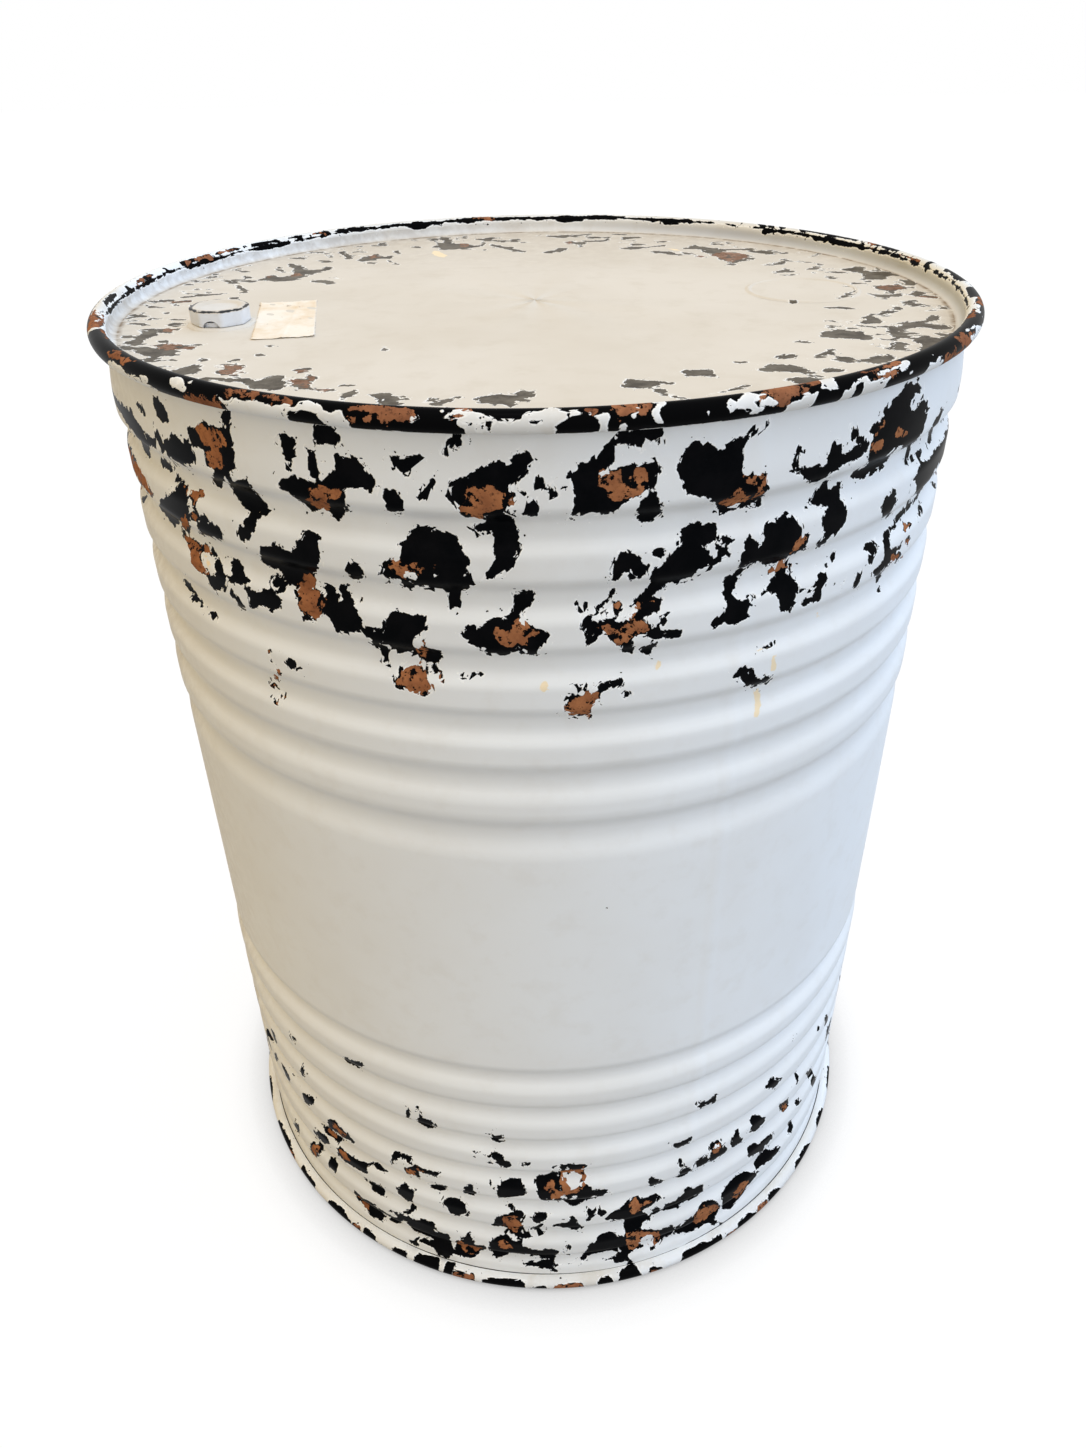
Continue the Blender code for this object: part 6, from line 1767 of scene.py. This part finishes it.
def make_seat(look):
    # The raised eight-sided seat round the plug's hole.
    apothem = SEAT_CORNER_RADIUS * math.cos(math.radians(22.5))
    rings = [
        (14.9, -0.8, 1.0, 0.0), (14.9, SEAT_HEIGHT, 1.0, 0.0), (15.6, SEAT_HEIGHT, 1.0, 0.0),
        (apothem - 1.6, SEAT_HEIGHT, 0.0, 1.0), (apothem - 0.9, SEAT_HEIGHT - 0.15, 0.0, 1.0),
        (apothem - 0.2, 0.2, 0.0, 1.0), (apothem + 0.4, -0.05, 0.0, 1.0),
        (apothem + 0.4, -0.5, 0.0, 1.0),
    ]
    seat = lofted("bung_seat", rings, 120, PLUG_CORNER, PLUG_X, PLUG_Y, PANEL_Z)
    add_fields(seat)
    seat.data.materials.append(look)
    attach(seat, "drum")
    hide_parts("top_head")


def make_ring(look):
    # A low round ridge pressed into the head.
    turn = np.radians(np.linspace(0.0, 360.0, 180, endpoint=False))
    rows = []
    for offset in np.linspace(RING_HALF_WIDTH, -RING_HALF_WIDTH, 11):
        bulge = 0.5 * (1.0 + math.cos(math.pi * offset / RING_HALF_WIDTH))
        lift = RING_RISE * bulge - 0.04
        radius = RING_RADIUS - offset
        rows.append(np.stack([RING_X + radius * np.cos(turn), RING_Y + radius * np.sin(turn),
                              PANEL_Z + lift + np.zeros(turn.shape)], axis=-1))
    points = np.array(rows)
    ring = grid_mesh("head_ring", points)
    x = points[..., 0]
    read_y = points[..., 1] + READ_SHIFT
    rust = field_flat(x, read_y, PANEL_RUST)
    add_fields(ring, chip=np.maximum(field_flat(x, read_y, PANEL_CHIPS), rust), rust=rust)
    ring.data.materials.append(look)
    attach(ring, "drum")
    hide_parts("top_head")


def make_label(look):
    # A thin creased sheet, a little lifted at its corners and torn along its edges.
    rng = np.random.default_rng(8)
    across = 38
    along = 96
    u, v = np.meshgrid(np.linspace(-0.5, 0.5, across), np.linspace(-0.5, 0.5, along))
    edge_x = rng.normal(0.0, 0.22, (along, 2))
    edge_y = rng.normal(0.0, 0.35, (2, across))
    x = u * (LABEL_WIDTH + LABEL_SPARE_WIDTH) + LABEL_SHIFT_X
    y = v * (LABEL_LENGTH + LABEL_SPARE_LENGTH) + LABEL_SHIFT_Y
    x[:, 0] += edge_x[:, 0]
    x[:, -1] += edge_x[:, 1]
    y[0, :] += edge_y[0]
    y[-1, :] += edge_y[1]
    lift = 0.35 + 0.25 * np.sin(v * 21.0 + u * 5.0) * np.sin(u * 9.0 + 1.0)
    lift += 3.6 * rise(np.abs(u), 0.4, 0.9) * rise(np.abs(v), 0.3, 0.8)
    lift += 0.3 * np.exp(-((u - 0.25 * v - 0.1) / 0.02) ** 2)
    c, s = math.cos(LABEL_TURN), math.sin(LABEL_TURN)
    x += LABEL_ASIDE
    y += LABEL_AHEAD
    points = np.stack([PLUG_X + x * c - y * s, PLUG_Y + x * s + y * c, PANEL_Z + lift], axis=-1)
    label = grid_mesh("faded_label", points, closed=False)
    thick = label.modifiers.new("thickness", "SOLIDIFY")
    thick.thickness = 0.12 * MM
    thick.offset = -1.0
    label.data.materials.append(look)
    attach(label, "drum")
    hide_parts("paper_label")


def dress_hidden_nodes():
    # The closure's inner pieces keep their solids and only get a look.
    steel = plain_material(
        "flange_steel", srgb(150, 148, 142), srgb(112, 104, 92), 0.42, 1.0, 60.0)
    dark_rubber = plain_material(
        "flange_gasket_rubber", srgb(34, 34, 34), srgb(48, 46, 44), 0.8, 0.0, 80.0)
    pale_rubber = plain_material(
        "plug_gasket_rubber", srgb(205, 202, 192), srgb(170, 162, 148), 0.7, 0.0, 80.0)
    looks = {"bung_flange": steel, "flange_gasket": dark_rubber, "plug_gasket": pale_rubber}
    for name, look in looks.items():
        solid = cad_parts[name]
        solid.data.materials.clear()
        solid.data.materials.append(look)


# Floor, light and camera


def floor_material():
    # Seen directly it glows almost white, with a painted contact shadow where the drum stands
    # close.
    look = bpy.data.materials.new("floor_white")
    look.use_nodes = True
    nodes = Nodes(look.node_tree)
    shader = nodes.tree.nodes["Principled BSDF"]
    seen = nodes.seen()
    nodes.wire(nodes.mix(seen, FLOOR_GREY, FLOOR_WHITE), shader.inputs["Base Color"])
    shader.inputs["Roughness"].default_value = 0.9
    shader.inputs["Specular IOR Level"].default_value = 0.1
    contact_shadow = nodes.add("ShaderNodeAmbientOcclusion", samples=4)
    contact_shadow.inputs["Distance"].default_value = CONTACT_SHADOW_DISTANCE
    glow = nodes.add("ShaderNodeEmission")
    level = nodes.math("MULTIPLY_ADD", contact_shadow.outputs["AO"], CONTACT_SHADOW_DEPTH, CONTACT_SHADOW_REST)
    nodes.wire(level, glow.inputs["Strength"])
    share = nodes.math("MULTIPLY", seen, FLOOR_GLOW_SHARE)
    surface = nodes.blend(share, shader.outputs[0], glow.outputs[0])
    nodes.wire(surface, nodes.tree.nodes["Material Output"].inputs["Surface"])
    return look


def make_floor():
    mesh = bpy.data.meshes.new("floor")
    corners = [(x * FLOOR_REACH, y * FLOOR_REACH, 0.0)
               for x, y in ((-1, -1), (1, -1), (1, 1), (-1, 1))]
    mesh.from_pydata(corners, [], [(0, 1, 2, 3)])
    floor = bpy.data.objects.new("floor", mesh)
    floor.location.z = -FLOOR_DROP
    bpy.context.scene.collection.objects.link(floor)
    mesh.materials.append(floor_material())


def make_world():
    # Plain white where it is seen. What lights the drum is dimmer and bluer to the right.
    world = bpy.data.worlds.new("studio")
    bpy.context.scene.world = world
    world.use_nodes = True
    nodes = Nodes(world.node_tree)
    nodes.tree.nodes.clear()
    white = nodes.add("ShaderNodeBackground")
    white.inputs["Color"].default_value = (1.0, 1.0, 1.0, 1.0)
    split = nodes.add("ShaderNodeSeparateXYZ")
    nodes.wire(nodes.add("ShaderNodeTexCoord").outputs["Generated"], split.inputs[0])
    overhead = nodes.math("MAXIMUM", split.outputs["Z"], 0.0)
    level = nodes.math("MULTIPLY_ADD", overhead, SKY_RISE, SKY_LEVEL)
    colour = nodes.add("ShaderNodeCombineColor")
    for channel, tilt in zip(("Red", "Green", "Blue"), SKY_TILT):
        share = nodes.math("MULTIPLY_ADD", split.outputs["X"], tilt, 1.0)
        share = nodes.math("MAXIMUM", share, 0.0)
        nodes.wire(nodes.math("MULTIPLY", share, level), colour.inputs[channel])
    fill = nodes.add("ShaderNodeBackground")
    nodes.wire(colour.outputs[0], fill.inputs["Color"])
    surface = nodes.blend(nodes.seen(), fill.outputs[0], white.outputs[0])
    nodes.wire(surface, nodes.add("ShaderNodeOutputWorld").inputs["Surface"])


def make_sun():
    # A soft, weak light from overhead.
    light = bpy.data.lights.new("overhead", "SUN")
    light.energy = 0.5
    light.angle = math.radians(22.0)
    lamp = bpy.data.objects.new("overhead", light)
    lamp.rotation_mode = "QUATERNION"
    lamp.rotation_quaternion = Vector((0.0, 0.25, -0.97)).to_track_quat("-Z", "Y")
    bpy.context.scene.collection.objects.link(lamp)


def make_camera():
    # The photograph's viewing point, found from the perspective of the rims.
    forward = Vector((0.0, math.cos(CAMERA_PITCH), -math.sin(CAMERA_PITCH)))
    level = Vector((1.0, 0.0, 0.0))
    down = forward.cross(level)
    across = math.cos(CAMERA_ROLL) * level + math.sin(CAMERA_ROLL) * down
    lower = -math.sin(CAMERA_ROLL) * level + math.cos(CAMERA_ROLL) * down
    data = bpy.data.cameras.new("camera")
    data.sensor_width = CAMERA_SENSOR
    data.lens = CAMERA_LENS
    camera = bpy.data.objects.new("camera", data)
    bpy.context.scene.collection.objects.link(camera)
    axes = Matrix((across, -lower, -forward)).transposed().to_4x4()
    camera.matrix_world = Matrix.Translation(CAMERA_PLACE) @ axes
    bpy.context.scene.camera = camera


def main():
    head_look = head_material("top_head_paint")
    make_wall(shell_material())
    make_head("head_and_chime", head_look, True)
    make_head("foot_and_chime", head_material("bottom_head_paint"), False)
    make_seat(head_look)
    make_ring(head_look)
    make_plug(plug_material())
    make_label(label_material())
    dress_hidden_nodes()
    make_floor()
    make_world()
    make_sun()
    make_camera()
    bpy.context.scene.view_settings.view_transform = "Standard"


main()
